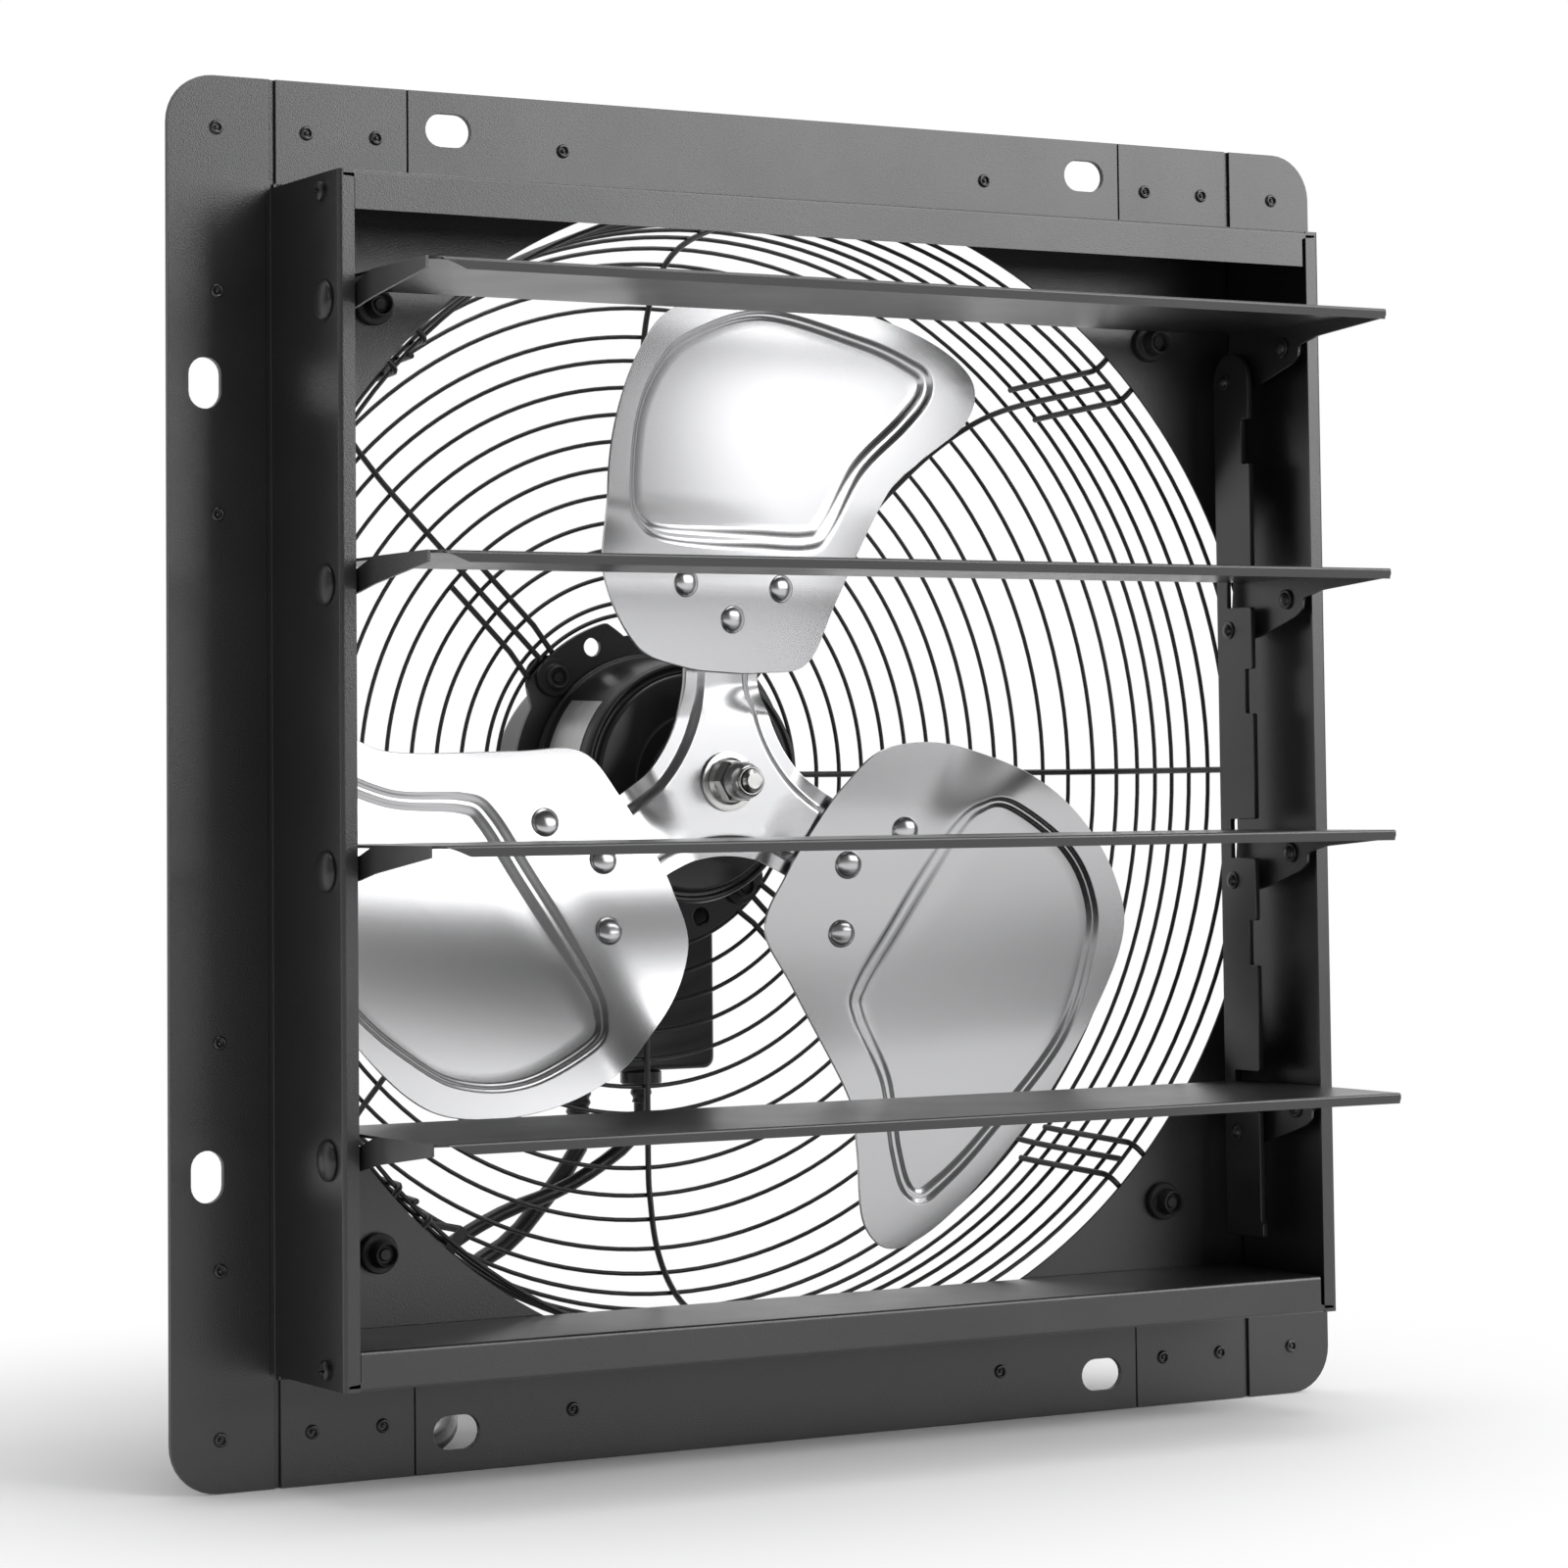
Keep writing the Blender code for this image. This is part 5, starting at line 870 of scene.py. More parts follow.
nut_collar = mm(
    (5.2, 30.2), (5.8, 29.6), (6.9, 30.7), (7.9, 33.2), (8.4, 36.5), (8.6, 40.0), (5.2, 40.0)
)
nut_collar = eased(nut_collar, 0.0010, 5, closed=True)
nut = [hexagon_nut(nut_radius, nut_front, nut_back, fan_axis, nut_bore)]
nut += [lathe(profile, fan_axis, sides=60, ring=True) for profile in (nut_seat, nut_collar)]
piece("lock_nut", nut, zinc_plate, "fan_nut", body="rotor")

# Spider. A pressing of bright aluminium: a raised hub and three raised arms inside a lower rim,
# hollow between the arms, and a round-cornered pad behind each blade's rivets.

spider_front = 0.0518
spider_thickness = 0.0025
spider_bore = 0.0053
arm_half_width = 0.020
web_radius = 0.033
neck_reach = 0.062
pad_half_width = 0.036
pad_reach = 0.098
pad_corner = 0.010
spider_flat = 0.028
spider_bend = 0.044
rim_width = 0.0055
rim_slope = 0.0042
rim_drop = 0.0026
arm_drop = 0.0006
blade_root = 0.0531
blade_pitch = 0.180
blade_rake = 0.049
blade_thickness = 0.0016
blade_clearance = 0.0006

aluminium = finish("brushed_aluminium", (0.54, 0.54, 0.55), 1, 0.29, "brushed_aluminium")
brushing = dict(stretch=(4, 1, 0.25), detail=2)
cloud(aluminium, 420, 0.24, 0.25, ((0.55, 0.55, 0.56), (0.57, 0.57, 0.58)), **brushing)
relief(aluminium, 420, 0.001, 0.0001, **brushing)


def smooth_step(value, start, end):
    """0 before start, 1 after end, and 3t² - 2t³ between."""
    t = np.clip((value - start) / (end - start), 0, 1)
    return t * t * (3 - 2 * t)


def turned_about_axis(points, degrees):
    """Points of the first arm or blade, given from the fan's axis, turned about it."""
    turn = math.radians(degrees)
    x, y, z = np.moveaxis(points, -1, 0)
    around = (x * math.cos(turn) + z * math.sin(turn), y, z * math.cos(turn) - x * math.sin(turn))
    return np.stack(around, -1) + fan_axis


def seat_depth(across, out):
    """Depth of the plane that an arm and its blade meet in, clear behind the blade."""
    plane = blade_pitch * across - blade_rake * out
    return blade_root + blade_thickness + blade_clearance + plane


def spider_depth(across, out, from_edge):
    """Front face of the spider: flat at the hub and set to the seat plane along the arm, with the
    rim lower than the middle and the arm's middle a little lower than the hub's."""
    ease = smooth_step(out, spider_flat, spider_bend)
    base = spider_front + (seat_depth(across, out) - spider_front) * ease
    pad = smooth_step(out, 0.058, 0.070)
    rim = (1 - smooth_step(from_edge, rim_width, rim_width + rim_slope)) * (1 - pad)
    arm = smooth_step(out, 0.033, 0.043) * smooth_step(abs(across), 0.0, 0.014) * (1 - pad)
    return base + rim * rim_drop + arm * arm_drop * (1 - rim)


half_angle = math.pi / 3
web_centre = (web_radius - arm_half_width) / (1 - math.sin(half_angle))
web_curve = web_centre - web_radius
web_side, web_out = web_centre * math.sin(half_angle), web_centre * math.cos(half_angle)
tip_angle = math.atan2(arm_half_width, neck_reach)
web_angle = math.atan2(arm_half_width, web_out)
slant = np.concatenate([np.linspace(0, tip_angle, 22), np.linspace(tip_angle, half_angle, 40)[1:]])
slant = np.concatenate([-slant[:0:-1], slant])
off = abs(slant)
curve_across = web_centre * np.sin(half_angle - off)
curve_reach = web_centre * np.cos(half_angle - off)
curve_reach -= np.sqrt(np.maximum(web_curve**2 - curve_across**2, 0))
straight_reach = arm_half_width / np.sin(np.maximum(off, 1e-3))
reach = np.where(off <= web_angle, straight_reach, curve_reach)
reach = np.where(off <= tip_angle, neck_reach / np.cos(off), reach)
edge_share = np.concatenate([np.linspace(0, 0.55, 12), np.linspace(0.55, 1, 40)[1:]])
radius = spider_bore + (reach - spider_bore)[None, :] * edge_share[:, None]
across, out = radius * np.sin(slant), radius * np.cos(slant)
curve_distance = np.hypot(abs(across) - web_side, out - web_out)
from_edge = np.where(out < web_out, curve_distance - web_curve, arm_half_width - abs(across))
core = np.stack([across, spider_depth(across, out, from_edge), out], -1)

pad_out = np.linspace(neck_reach, pad_reach, 34)[1:, None]
flare = smooth_step(pad_out, neck_reach, 0.076)
pad_half = arm_half_width + (pad_half_width - arm_half_width) * flare
past = np.clip(pad_out - (pad_reach - pad_corner), 0, pad_corner)
pad_half = pad_half - (pad_corner - np.sqrt(np.maximum(pad_corner**2 - past**2, 0)))
columns_on_pad = off <= tip_angle + 1e-9
tip_share = np.tan(slant[columns_on_pad]) / math.tan(tip_angle)
pad_across = pad_half * tip_share[None, :]
pad_out = pad_out + 0 * pad_across
pad = np.stack([pad_across, spider_depth(pad_across, pad_out, 0.05 + 0 * pad_out), pad_out], -1)
pad = np.concatenate([core[-1:, columns_on_pad], pad])

spider_shape = bmesh.new()
for arm in range(3):
    for rows in (core, pad):
        points, faces = grid(turned_about_axis(rows, 120 * arm))
        corners = [spider_shape.verts.new(point) for point in points]
        for face in faces:
            spider_shape.faces.new([corners[corner] for corner in face])
bmesh.ops.remove_doubles(spider_shape, verts=spider_shape.verts, dist=5e-6)
bmesh.ops.recalc_face_normals(spider_shape, faces=spider_shape.faces)
if sum(face.normal.y * face.calc_area() for face in spider_shape.faces) > 0:
    bmesh.ops.reverse_faces(spider_shape, faces=spider_shape.faces)
spider_mesh = bpy.data.meshes.new("spider_pressing")
spider_shape.to_mesh(spider_mesh)
spider_shape.free()
spider_mesh.shade_smooth()
spider_mesh.materials.append(aluminium)
spider = added("spider_pressing", spider_mesh)
thicken = spider.modifiers.new("thickness", "SOLIDIFY")
thicken.thickness = spider_thickness
thicken.offset = -1
round_rims = spider.modifiers.new("rims", "BEVEL")
round_rims.width = 0.0004
round_rims.segments = 2
round_rims.limit_method = "ANGLE"
round_rims.angle_limit = math.radians(60)
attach(spider, "rotor")
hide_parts("fan_spider")

# Blades. Three aluminium blades, arched towards their trailing edge, each with a panel pressed in
# inside a double step, and three domed rivets through the spider's pad.

blade_tip = 0.230
blade_outline = (
    (-0.11, 0.22), (-0.22, 0.26), (-0.30, 0.40), (-0.31, 0.62), (-0.24, 0.81), (-0.12, 0.91),
    (0.16, 0.94), (0.44, 0.89), (0.59, 0.81), (0.59, 0.72), (0.47, 0.63), (0.39, 0.56),
    (0.27, 0.35), (0.20, 0.23), (0.09, 0.21), (-0.01, 0.21),
)
panel_outline = (
    (-0.16, 0.49), (-0.21, 0.50), (-0.24, 0.54), (-0.23, 0.68), (-0.18, 0.78), (-0.10, 0.84),
    (0.08, 0.89), (0.32, 0.85), (0.44, 0.81), (0.47, 0.78), (0.42, 0.72), (0.31, 0.625),
    (0.230, 0.510), (0.19, 0.49), (0.07, 0.49), (-0.05, 0.49),
)
panel_border = (8.5, 6.0, 4.5, 4.2, 4.2, 4.5, 5.0, 5.5, 6.5, 8.0, 8.0, 8.0, 9.5, 10.5, 10.5, 10.5)
panel_step = 0.0030
border_shares = (0, 0.04, 0.21, 0.38, 0.42, 0.54, 0.58, 0.77, 0.96, 1)
border_drops = (0, 0.01, 0.25, 0.49, 0.50, 0.50, 0.51, 0.75, 0.99, 1)
camber_middle = 0.044
camber_width = 0.118
camber_start = 0.088
camber_full = 0.125
camber_height = 0.010
edge_round = 0.0004
blade_rivets = ((-0.0238, 0.0871), (0.0298, 0.0856), (0.0025, 0.0715))
blade_rivet_radius = 0.0064
blade_rivet_height = 0.0032
blade_rivet_sink = 0.0008
per_span = 14


def catmull_rom(a, b, c, d, t):
    """The cubic from b to c as t goes from 0 to 1, with slopes (c - a) / 2 and (d - b) / 2."""
    bent = (2 * a - 5 * b + 4 * c - d) * t**2 + (3 * b - a - 3 * c + d) * t**3
    return (2 * b + (c - a) * t + bent) / 2


def smooth_closed(points):
    """A closed curve through points, each span the Catmull-Rom cubic of its four neighbours."""
    points = np.asarray(points, float)
    t = (np.arange(per_span) / per_span)[None, :, None]
    around = [np.roll(points, shift, 0)[:, None] for shift in (1, 0, -1, -2)]
    return catmull_rom(*around, t).reshape(-1, points.shape[-1])


def blade_depth(across, out):
    """Front face of a blade: the seat plane, arched forward further out by the square of the
    distance from the arch's middle."""
    plane = blade_root + blade_pitch * across - blade_rake * out
    arch = ((across - camber_middle) / camber_width) ** 2
    return plane - smooth_step(out, camber_start, camber_full) * camber_height * arch


def inset(loop, distance):
    """A closed loop moved inwards along its own normals, by one distance or one for each point."""
    tangent = np.roll(loop, -2, 0) - np.roll(loop, 2, 0)
    tangent /= np.linalg.norm(tangent, axis=1)[:, None]
    normal = np.column_stack([-tangent[:, 1], tangent[:, 0]])
    turning = np.sum(loop[:, 0] * np.roll(loop[:, 1], -1) - loop[:, 1] * np.roll(loop[:, 0], -1))
    return loop + normal * (math.copysign(1, turning) * np.reshape(distance, (-1, 1)))


edge_loop = smooth_closed(blade_outline) * blade_tip
floor_loop = smooth_closed(panel_outline) * blade_tip
border = smooth_closed(mm(*panel_border)[:, None])
panel_middle = floor_loop.mean(0)
border_loop = inset(floor_loop, -border)
loops, presses = [], []
for share in np.append([0, 0.02], np.linspace(0.1, 0.95, 10)):
    loops.append(edge_loop + (border_loop - edge_loop) * share)
    presses.append(0)
for share, drop in zip(border_shares, border_drops):
    loops.append(inset(floor_loop, border * (share - 1)))
    presses.append(panel_step * drop)
for share in np.linspace(0, 1, 16)[1:]:
    loops.append(floor_loop + (panel_middle - floor_loop) * share)
    presses.append(panel_step)
flat_blade = np.stack(loops)
depth = blade_depth(flat_blade[..., 0], flat_blade[..., 1]) + np.array(presses)[:, None]
blade_front = np.stack([flat_blade[..., 0], depth, flat_blade[..., 1]], -1)
blade_back = blade_front + (0, blade_thickness, 0)
outward = edge_loop - inset(edge_loop, edge_round)
rim = (blade_front[:1] + blade_back[:1]) / 2 + np.insert(outward, 1, 0, 1)
blade_rows = np.concatenate([blade_front[::-1], rim, blade_back])


def blade_rivet(across, out):
    """A domed rivet head standing square on the blade."""
    foot = np.array([across, blade_depth(across, out), out])
    sunk_rim = [(0, -blade_rivet_sink), (blade_rivet_radius, -blade_rivet_sink)]
    profile = np.concatenate([sunk_rim, dome(blade_rivet_radius, blade_rivet_height, 9)])
    return lathe(profile, foot, (blade_pitch, -1, -blade_rake))


for number in range(3):
    shells = [grid(blade_rows, around=True), *[blade_rivet(*place) for place in blade_rivets]]
    shells = [(turned_about_axis(points, 120 * number), faces) for points, faces in shells]
    name, node_name = f"rotor_blade_{number + 1}", f"fan_blade_{number + 1}"
    piece(name, shells, aluminium, node_name, body="rotor", sharp=40)

# Capacitor box. A moulded case with round edges, screwed under the motor's rear shell, with its
# lid behind and the run capacitor inside. Both cords leave through glands in its floor.

case_half_width = 0.043
case_front = 0.142
case_back = 0.178
case_top = -0.0598
case_bottom = -0.135
case_edge = 0.003
case_corner = 0.0048
lid_edge = 0.0003
lid_back = 0.1791
lid_screw_x = 0.036
lid_screw_inset = 0.007
lid_screw_radius = 0.0035
lid_screw_height = 0.0016
lid_screw_sink = 0.0004

case_plastic = finish("case_plastic", (0.020, 0.020, 0.021), 0, 0.40, "black_plastic")
cloud(case_plastic, 50, 0.34, 0.48, ((0.015, 0.015, 0.016), (0.026, 0.026, 0.027)))
relief(case_plastic, 1800, 0.10, 0.0002)


def rounded_case(front, back, edge, steps=6):
    """A box with round edges: round-cornered rectangles stacked from front to back, the first and
    last few drawn in along a quarter circle."""
    t = np.linspace(0, math.pi / 2, steps)
    draw = edge * (1 - np.sin(t))
    depth = np.concatenate([front + edge * (1 - np.cos(t)), back - edge * (1 - np.cos(t[::-1]))])
    draw = np.concatenate([draw, draw[::-1]])
    half_height, level = (case_top - case_bottom) / 2, (case_top + case_bottom) / 2
    base = square_outline(case_half_width, half_height, case_corner, 8)
    loops = base[None] * (1 - draw[:, None] / [[case_half_width, half_height]])[:, None, :]
    rows = np.stack([loops[..., 0], depth[:, None] + 0 * loops[..., 0], loops[..., 1] + level], -1)
    ends = [rows[end : end + 1] * (0, 1, 0) + (0, 0, level) for end in (0, len(rows) - 1)]
    return grid(np.concatenate([ends[0], rows, ends[1]]), around=True)


case = rounded_case(case_front, case_back, case_edge)
piece("capacitor_case", [case], case_plastic, "capacitor_box", "capacitor")
lid = rounded_case(case_back, lid_back, lid_edge)
piece("capacitor_case_lid", [lid], case_plastic, "capacitor_box_lid")
lid_screws = [
    cross_head(lid_screw_radius, lid_screw_height, (0, 1, 0), (x, lid_back - lid_screw_sink, z))
    for x in (lid_screw_x, -lid_screw_x)
    for z in (case_top - lid_screw_inset, case_bottom + lid_screw_inset)
]
piece("lid_screws", lid_screws, blackened_steel)

# Glands. A ribbed plastic nut under the case's floor and a tapered sleeve that keeps the cord from
# bending sharply where it leaves.

gland_top = -0.1353
gland_nut = 0.0062
rib_height = 0.0004


def gland(name, place, sleeve_length, cord_radius, ribs, replaced):
    """A gland: its nut has twelve flats, and its sleeve narrows in ribs."""
    nut_low = gland_top - gland_nut
    nut = [(0, gland_top + 0.003), (0.0044, gland_top + 0.003), (0.0044, gland_top)]
    nut += [(0.0090, gland_top), (0.0095, gland_top - 0.0006), (0.0095, nut_low + 0.0008)]
    nut += [(0.0086, nut_low), (0, nut_low)]
    station = np.linspace(0, 1, ribs * 8 + 1)
    root, end = cord_radius + 0.0023, cord_radius + 0.0008
    wave = rib_height * (np.cos(station * ribs * 2 * math.pi) - 1)
    down = nut_low - sleeve_length * station
    sleeve = np.column_stack([root + (end - root) * station + wave, down])
    start = [(0, nut_low + 0.001), (root, nut_low + 0.001)]
    sleeve = np.concatenate([start, sleeve, [(0, nut_low - sleeve_length)]])
    shells = [lathe(nut, place, (0, 0, 1), 12), lathe(sleeve, place, (0, 0, 1), 32)]
    piece(name, shells, case_plastic, replaced)


gland("mains_gland", (-0.018, 0.163, 0), 0.020, 0.0042, 5, "power_gland")
gland("control_lead_gland", (0.009, 0.152, 0), 0.0082, 0.0034, 2, "control_gland")

# Cords. A mains cord and a thinner control lead, in black rubber, hang from the glands, run down
# under the guard and are coiled behind the panel's lower left corner, tied to the guard.

cord_rubber = finish("cord_rubber", (0.012, 0.012, 0.012), 0, 0.34, "black_rubber")
cloud(cord_rubber, 90, 0.26, 0.42, ((0.008, 0.008, 0.008), (0.018, 0.018, 0.018)))
relief(cord_rubber, 900, 0.05, 0.0002)

power_diameter = 0.0084
power_start = (-0.018, 0.163, -0.1618)
power_route = mm(
    (-29.0, 163.0, -185.0), (-41.4, 163.0, -198.6), (-53.9, 163.0, -210.7),
    (-73.3, 162.0, -221.0), (-92.0, 154.0, -234.0), (-108.0, 137.0, -248.0),
    (-118.0, 112.0, -260.0), (-126.0, 82.0, -269.0), (-139.0, 52.0, -275.5),
    (-160.0, 30.0, -278.5),
)
power_coil = dict(
    centre=(-0.210, -0.230), front=0.0185, middle=0.0424, turns=5.667, layers=4, leave=0
)
control_diameter = 0.0068
control_start = (0.009, 0.152, -0.1500)
control_route = mm(
    (4.0, 151.5, -166.0), (-5.0, 151.0, -172.5), (-22.0, 150.0, -181.9), (-39.0, 150.0, -189.0),
    (-60.0, 150.0, -195.0), (-81.0, 150.0, -204.0), (-98.0, 148.0, -213.5),
    (-118.0, 140.0, -226.5), (-137.0, 125.0, -239.5), (-152.0, 104.0, -251.5),
    (-166.0, 83.0, -261.0),
)
control_coil = dict(
    centre=(-0.210, -0.226), front=0.0625, middle=0.0357, turns=2.472, layers=2, leave=25
)
coil_gap = 0.0008


def coil_line(diameter, centre, front, middle, turns, layers, leave, per_turn=24):
    """A coil against the guard: at turn t its angle is -2 pi (t + 1/4), its radius grows and
    shrinks by a pitch for each turn, layer by layer, and its depth climbs a pitch in the half turn
    round each change of layer. Both ends run straight for one diameter."""
    pitch = diameter + coil_gap
    per_layer = turns / layers
    turn = np.linspace(0, turns, round(turns * per_turn) + 1)
    layer = np.minimum(layers - 1, (turn / per_layer).astype(int))
    within = turn - layer * per_layer
    drawn = np.where(layer % 2 == 0, within, per_layer - within)
    radius = middle + pitch * per_layer / 2 - pitch * drawn
    changes = np.arange(1, layers)[:, None] * per_layer
    depth = front + np.clip((turn - changes) * 2 + 0.5, 0, 1).sum(0) * pitch
    angle = -2 * math.pi * (turn + 0.25)
    points = [centre[0] + radius * np.cos(angle), depth, centre[1] + radius * np.sin(angle)]
    points = np.column_stack(points)
    last = -2 * math.pi * (turns + 0.25)
    away = np.array([math.sin(last), math.tan(math.radians(leave)), -math.cos(last)])
    away /= np.linalg.norm(away)
    first = points[:1] + (diameter, 0, 0)
    return np.concatenate([first, points, points[-1:] + away * diameter])


def smooth_route(points, spacing):
    """Even points on Catmull-Rom cubics through a route, whose first and last points only set the
    directions at its ends."""
    t = (np.arange(12) / 12)[None, :, None]
    neighbours = [points[k : len(points) - 3 + k, None] for k in range(4)]
    fine = np.concatenate([catmull_rom(*neighbours, t).reshape(-1, 3), points[-2:-1]])
    run = np.append(0, np.linalg.norm(np.diff(fine, axis=0), axis=1).cumsum())
    even = np.linspace(0, run[-1], round(run[-1] / spacing) + 1)
    return np.column_stack([np.interp(even, run, fine[:, axis]) for axis in range(3)])


def cord_line(start, route, diameter, coil):
    """The whole cord: straight out of its gland, along the route and into its coil."""
    wound = coil_line(diameter, **coil)
    arrive = (wound[1] - wound[0]) / np.linalg.norm(wound[1] - wound[0])
    start, end = np.array(start), wound[0] - arrive * 0.0003
    ends = (start - (0, 0, diameter), end - arrive * diameter)
    through = np.array([start, ends[0], *route, ends[1], end])
    return np.concatenate([[start], smooth_route(through, diameter * 1.4), wound])


def cord(name, line, diameter, body="housing"):
    """A round cord as one open spline."""
    curve = bpy.data.curves.new(name, "CURVE")
    curve.dimensions = "3D"
    curve.bevel_depth = diameter / 2
    curve.bevel_resolution = 4
    curve.use_fill_caps = True
    spline = curve.splines.new("POLY")
    spline.points.add(len(line) - 1)
    spline.points.foreach_set("co", np.insert(line, 3, 1, 1).ravel())
    curve.materials.append(cord_rubber)
    thing = added(name, curve)
    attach(thing, body)
    return thing


def ends_frame(line):
    """Axes and place of a piece at a cord's end: its third axis runs on along the cord."""
    onward = (line[-1] - line[-2]) / np.linalg.norm(line[-1] - line[-2])
    side = np.cross((0, 1, 0), onward)
    side /= np.linalg.norm(side)
    return np.array([side, np.cross(onward, side), onward]), line[-1]


power_line = cord_line(power_start, power_route, power_diameter, power_coil)
control_line = cord_line(control_start, control_route, control_diameter, control_coil)
power_cord = cord("mains_cord", power_line, power_diameter)
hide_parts("power_cord", "power_cord_coil")
control_cord = cord("control_cord", control_line, control_diameter)
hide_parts("control_lead", "control_lead_coil")

# Plug and connector. A moulded plug with two flat blades and a round earth pin ends the mains
# cord, and a round screw connector with a knurled ring ends the control lead.

plug_half_width = 0.013
plug_half_height = 0.011
plug_stations = (0.0003, 0.004, 0.009, 0.0162, 0.019, 0.0216, 0.030, 0.0352, 0.0363)
plug_girths = (0.36, 0.40, 0.47, 0.60, 0.80, 0.97, 1.0, 1.0, 0.94)
plug_blade_x = 0.00635
earth_pin_y = 0.008
knurled_run = (0.0095, 0.0215)
knurl_depth = 0.035

axes, place = ends_frame(power_line)
along, girth = np.array(plug_stations)[:, None], np.array(plug_girths)[:, None]
angle = np.arange(48) * 2 * math.pi / 48
corner_u = np.sign(np.cos(angle)) * abs(np.cos(angle)) ** 0.5
corner_v = np.sign(np.sin(angle)) * abs(np.sin(angle)) ** 0.5
plug_rows = [plug_half_width * girth * corner_u, plug_half_height * girth * corner_v]
plug_rows = np.stack([*plug_rows, along + 0 * corner_u], -1)
plug_ends = [plug_rows[end : end + 1] * (0, 0, 1) for end in (0, len(plug_rows) - 1)]
plug_body = grid(np.concatenate([plug_ends[0], plug_rows, plug_ends[1]]), around=True)
power_plug = piece("mains_plug", [laid(plug_body, axes, place)], cord_rubber, "power_plug")
pins = []
for u in (plug_blade_x, -plug_blade_x):
    blade_line = [(u, -0.0031, 0.034, 0.054), (u, 0.0031, 0.034, 0.054)]
    pins.append(laid(strip(blade_line, 0.0015, 0.0001, np.eye(3)), axes, place))
earth = [(0, 0.034), (0.0024, 0.034), (0.0024, 0.0548), (0.0018, 0.0556), (0, 0.0560)]
pins.append(lathe(earth, place + axes[1] * earth_pin_y, axes[2], 24))
plug_pins = piece("mains_plug_pins", pins, zinc_plate, slot="zinc_plated_steel")

axes, place = ends_frame(control_line)
collar = mm((0, 0.3), (5.2, 0.3), (6, 6), (7, 9), (7, 22), (5.2, 22), (5, 29.5), (0, 30))
points, faces = lathe(eased(collar, 0.0005, 3), place, axes[2], 60)
rows = points.reshape(-1, 60, 3)
station = (rows[:, :, None] - place) @ axes[2]
knurl = (station > knurled_run[0]) & (station < knurled_run[1])
centre_line = place + station * axes[2]
shrink = 1 - knurl_depth * (np.arange(60) % 2)[None, :, None] * knurl
rows = centre_line + (rows - centre_line) * shrink
shells = [(rows.reshape(-1, 3), faces)]
connector = piece("control_lead_connector", shells, case_plastic, "control_connector")


tie_strap = finish("tie_strap", (0.018, 0.018, 0.018), 0, 0.5)
cloud(tie_strap, 500, 0.42, 0.6, stretch=(1, 1, 4))
relief(tie_strap, 1200, 0.1, 0.0002)
refinished("cord_tie", tie_strap)

# Stage. A pale floor under the panel's lower edge, which turns to plain white further out, and a
# white backdrop all round, which gloss and metal see fade low and to the left, on the camera's
# side. A broad soft lamp stands in front to the right, and weaker ones to the left and above.

floor_level = -0.2853
floor_size = 6.0
floor_tone = 0.92
floor_fade = (0.34, 0.66)
room_strength = 0.45
backdrop_side = (0.40, 0.82, 0.40)
backdrop_fade = (-0.10, 0.60)
backdrop_dim = 0.14
white_colour = (1, 1, 1, 1)
soft_lamps = (
    ("lamp_front_right", (1.52, -1.91, 1.12), 2.2, 60),
    ("lamp_left", (-2.2, -0.8, 0.9), 1.0, 3),
    ("lamp_top", (0.2, -0.2, 2.4), 1.6, 24),
)

floor_mesh = bpy.data.meshes.new("floor")
spread = np.array([(-1, -1, 0), (1, -1, 0), (1, 1, 0), (-1, 1, 0)]) * floor_size
floor_mesh.from_pydata((spread + (0, 0, floor_level)).tolist(), [], [(0, 1, 2, 3)])
floor = added("floor", floor_mesh)
floor_material = finish("pale_floor", (floor_tone, floor_tone, floor_tone), 0, 0.8)
tree = floor_material.node_tree
heading = node(tree, "ShaderNodeTexCoord", {})
distance = node(tree, "ShaderNodeVectorMath", {0: heading.outputs["Object"]})
distance.operation = "LENGTH"
fade = {"Value": distance.outputs["Value"], "From Min": floor_fade[0], "From Max": floor_fade[1]}
fade = node(tree, "ShaderNodeMapRange", fade)
fade.interpolation_type = "SMOOTHSTEP"
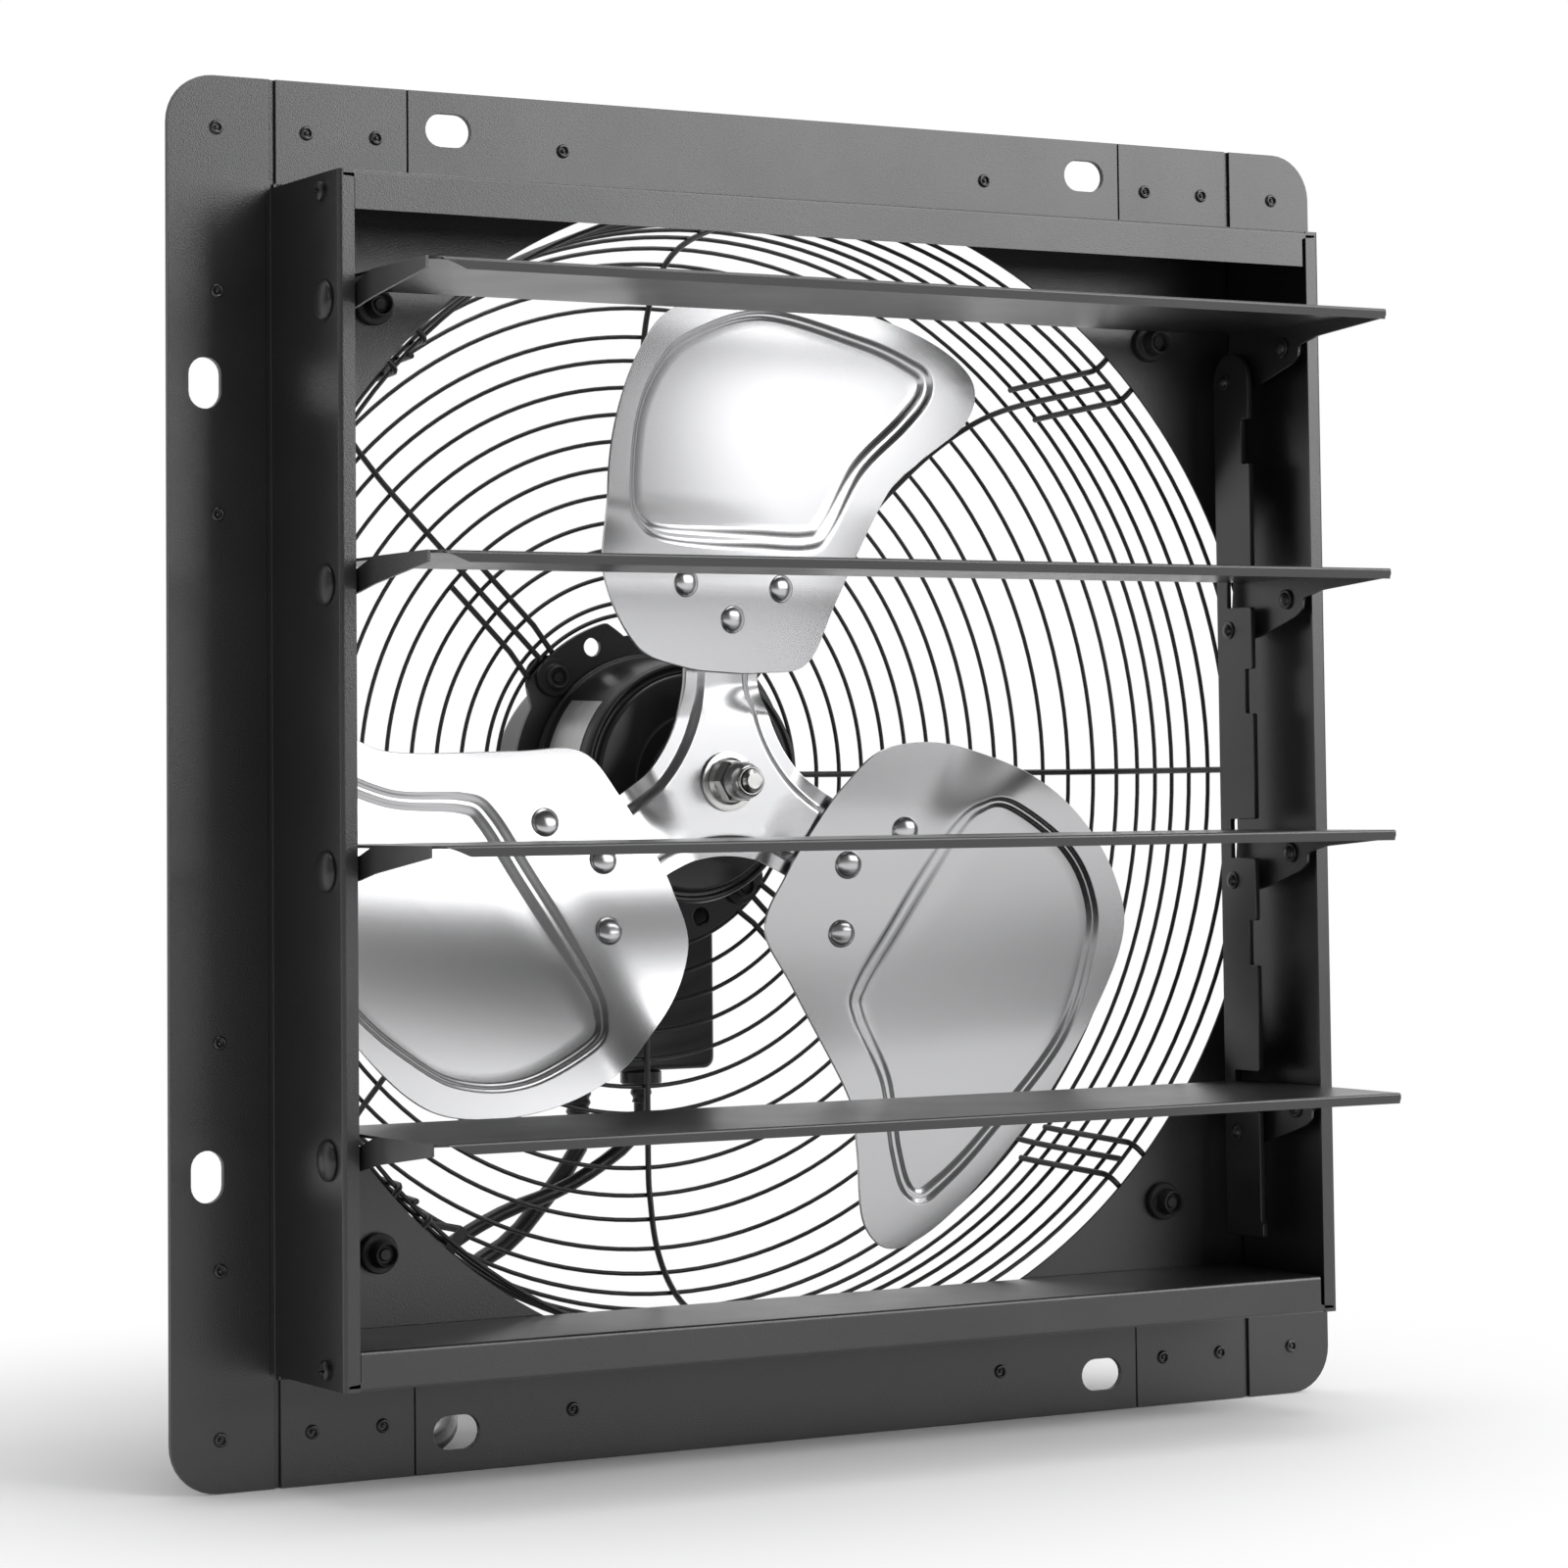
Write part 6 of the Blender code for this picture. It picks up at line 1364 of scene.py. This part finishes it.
glow = node(tree, "ShaderNodeEmission", {"Strength": 1.0}).outputs["Emission"]
blend = {"Fac": fade.outputs["Result"], 1: shader_of(floor_material).outputs["BSDF"], 2: glow}
blend = node(tree, "ShaderNodeMixShader", blend)
tree.links.new(blend.outputs["Shader"], tree.nodes["Material Output"].inputs["Surface"])
floor_mesh.materials.append(floor_material)

world = bpy.data.worlds.new("white_surround")
bpy.context.scene.world = world
world.use_nodes = True
tree = world.node_tree


def largest(one, two):
    """The greater of two numbers of the world's tree."""
    greater = node(tree, "ShaderNodeMath", {0: one, 1: two})
    greater.operation = "MAXIMUM"
    return greater.outputs["Value"]


room = tree.nodes["Background"]
room.inputs["Color"].default_value = white_colour
room.inputs["Strength"].default_value = room_strength
rays = node(tree, "ShaderNodeLightPath", {})
camera_ray = rays.outputs["Is Camera Ray"]
heading = node(tree, "ShaderNodeTexCoord", {}).outputs["Object"]
facing = node(tree, "ShaderNodeVectorMath", {0: heading, 1: backdrop_side})
facing.operation = "DOT_PRODUCT"
low, high = backdrop_fade
fade = {"Value": facing.outputs["Value"], "From Min": low, "From Max": high}
fade = node(tree, "ShaderNodeMapRange", {**fade, "To Min": backdrop_dim, "To Max": 1.0})
fade.interpolation_type = "SMOOTHSTEP"
strength = largest(fade.outputs["Result"], camera_ray)
white = node(tree, "ShaderNodeBackground", {"Color": white_colour, "Strength": strength})
seen = largest(camera_ray, rays.outputs["Is Glossy Ray"])
seen = largest(seen, rays.outputs["Is Transmission Ray"])
pick = {"Fac": seen, 1: room.outputs["Background"], 2: white.outputs["Background"]}
pick = node(tree, "ShaderNodeMixShader", pick)
tree.links.new(pick.outputs["Shader"], tree.nodes["World Output"].inputs["Surface"])

for name, place, size, power in soft_lamps:
    lamp_data = bpy.data.lights.new(name, "AREA")
    lamp_data.size = size
    lamp_data.energy = power
    back = np.array(place) / np.linalg.norm(place)
    side = np.cross((0, 0, 1), back)
    side /= np.linalg.norm(side)
    stand(added(name, lamp_data), place, [side, np.cross(back, side), back])

bpy.context.scene.view_settings.view_transform = "Standard"
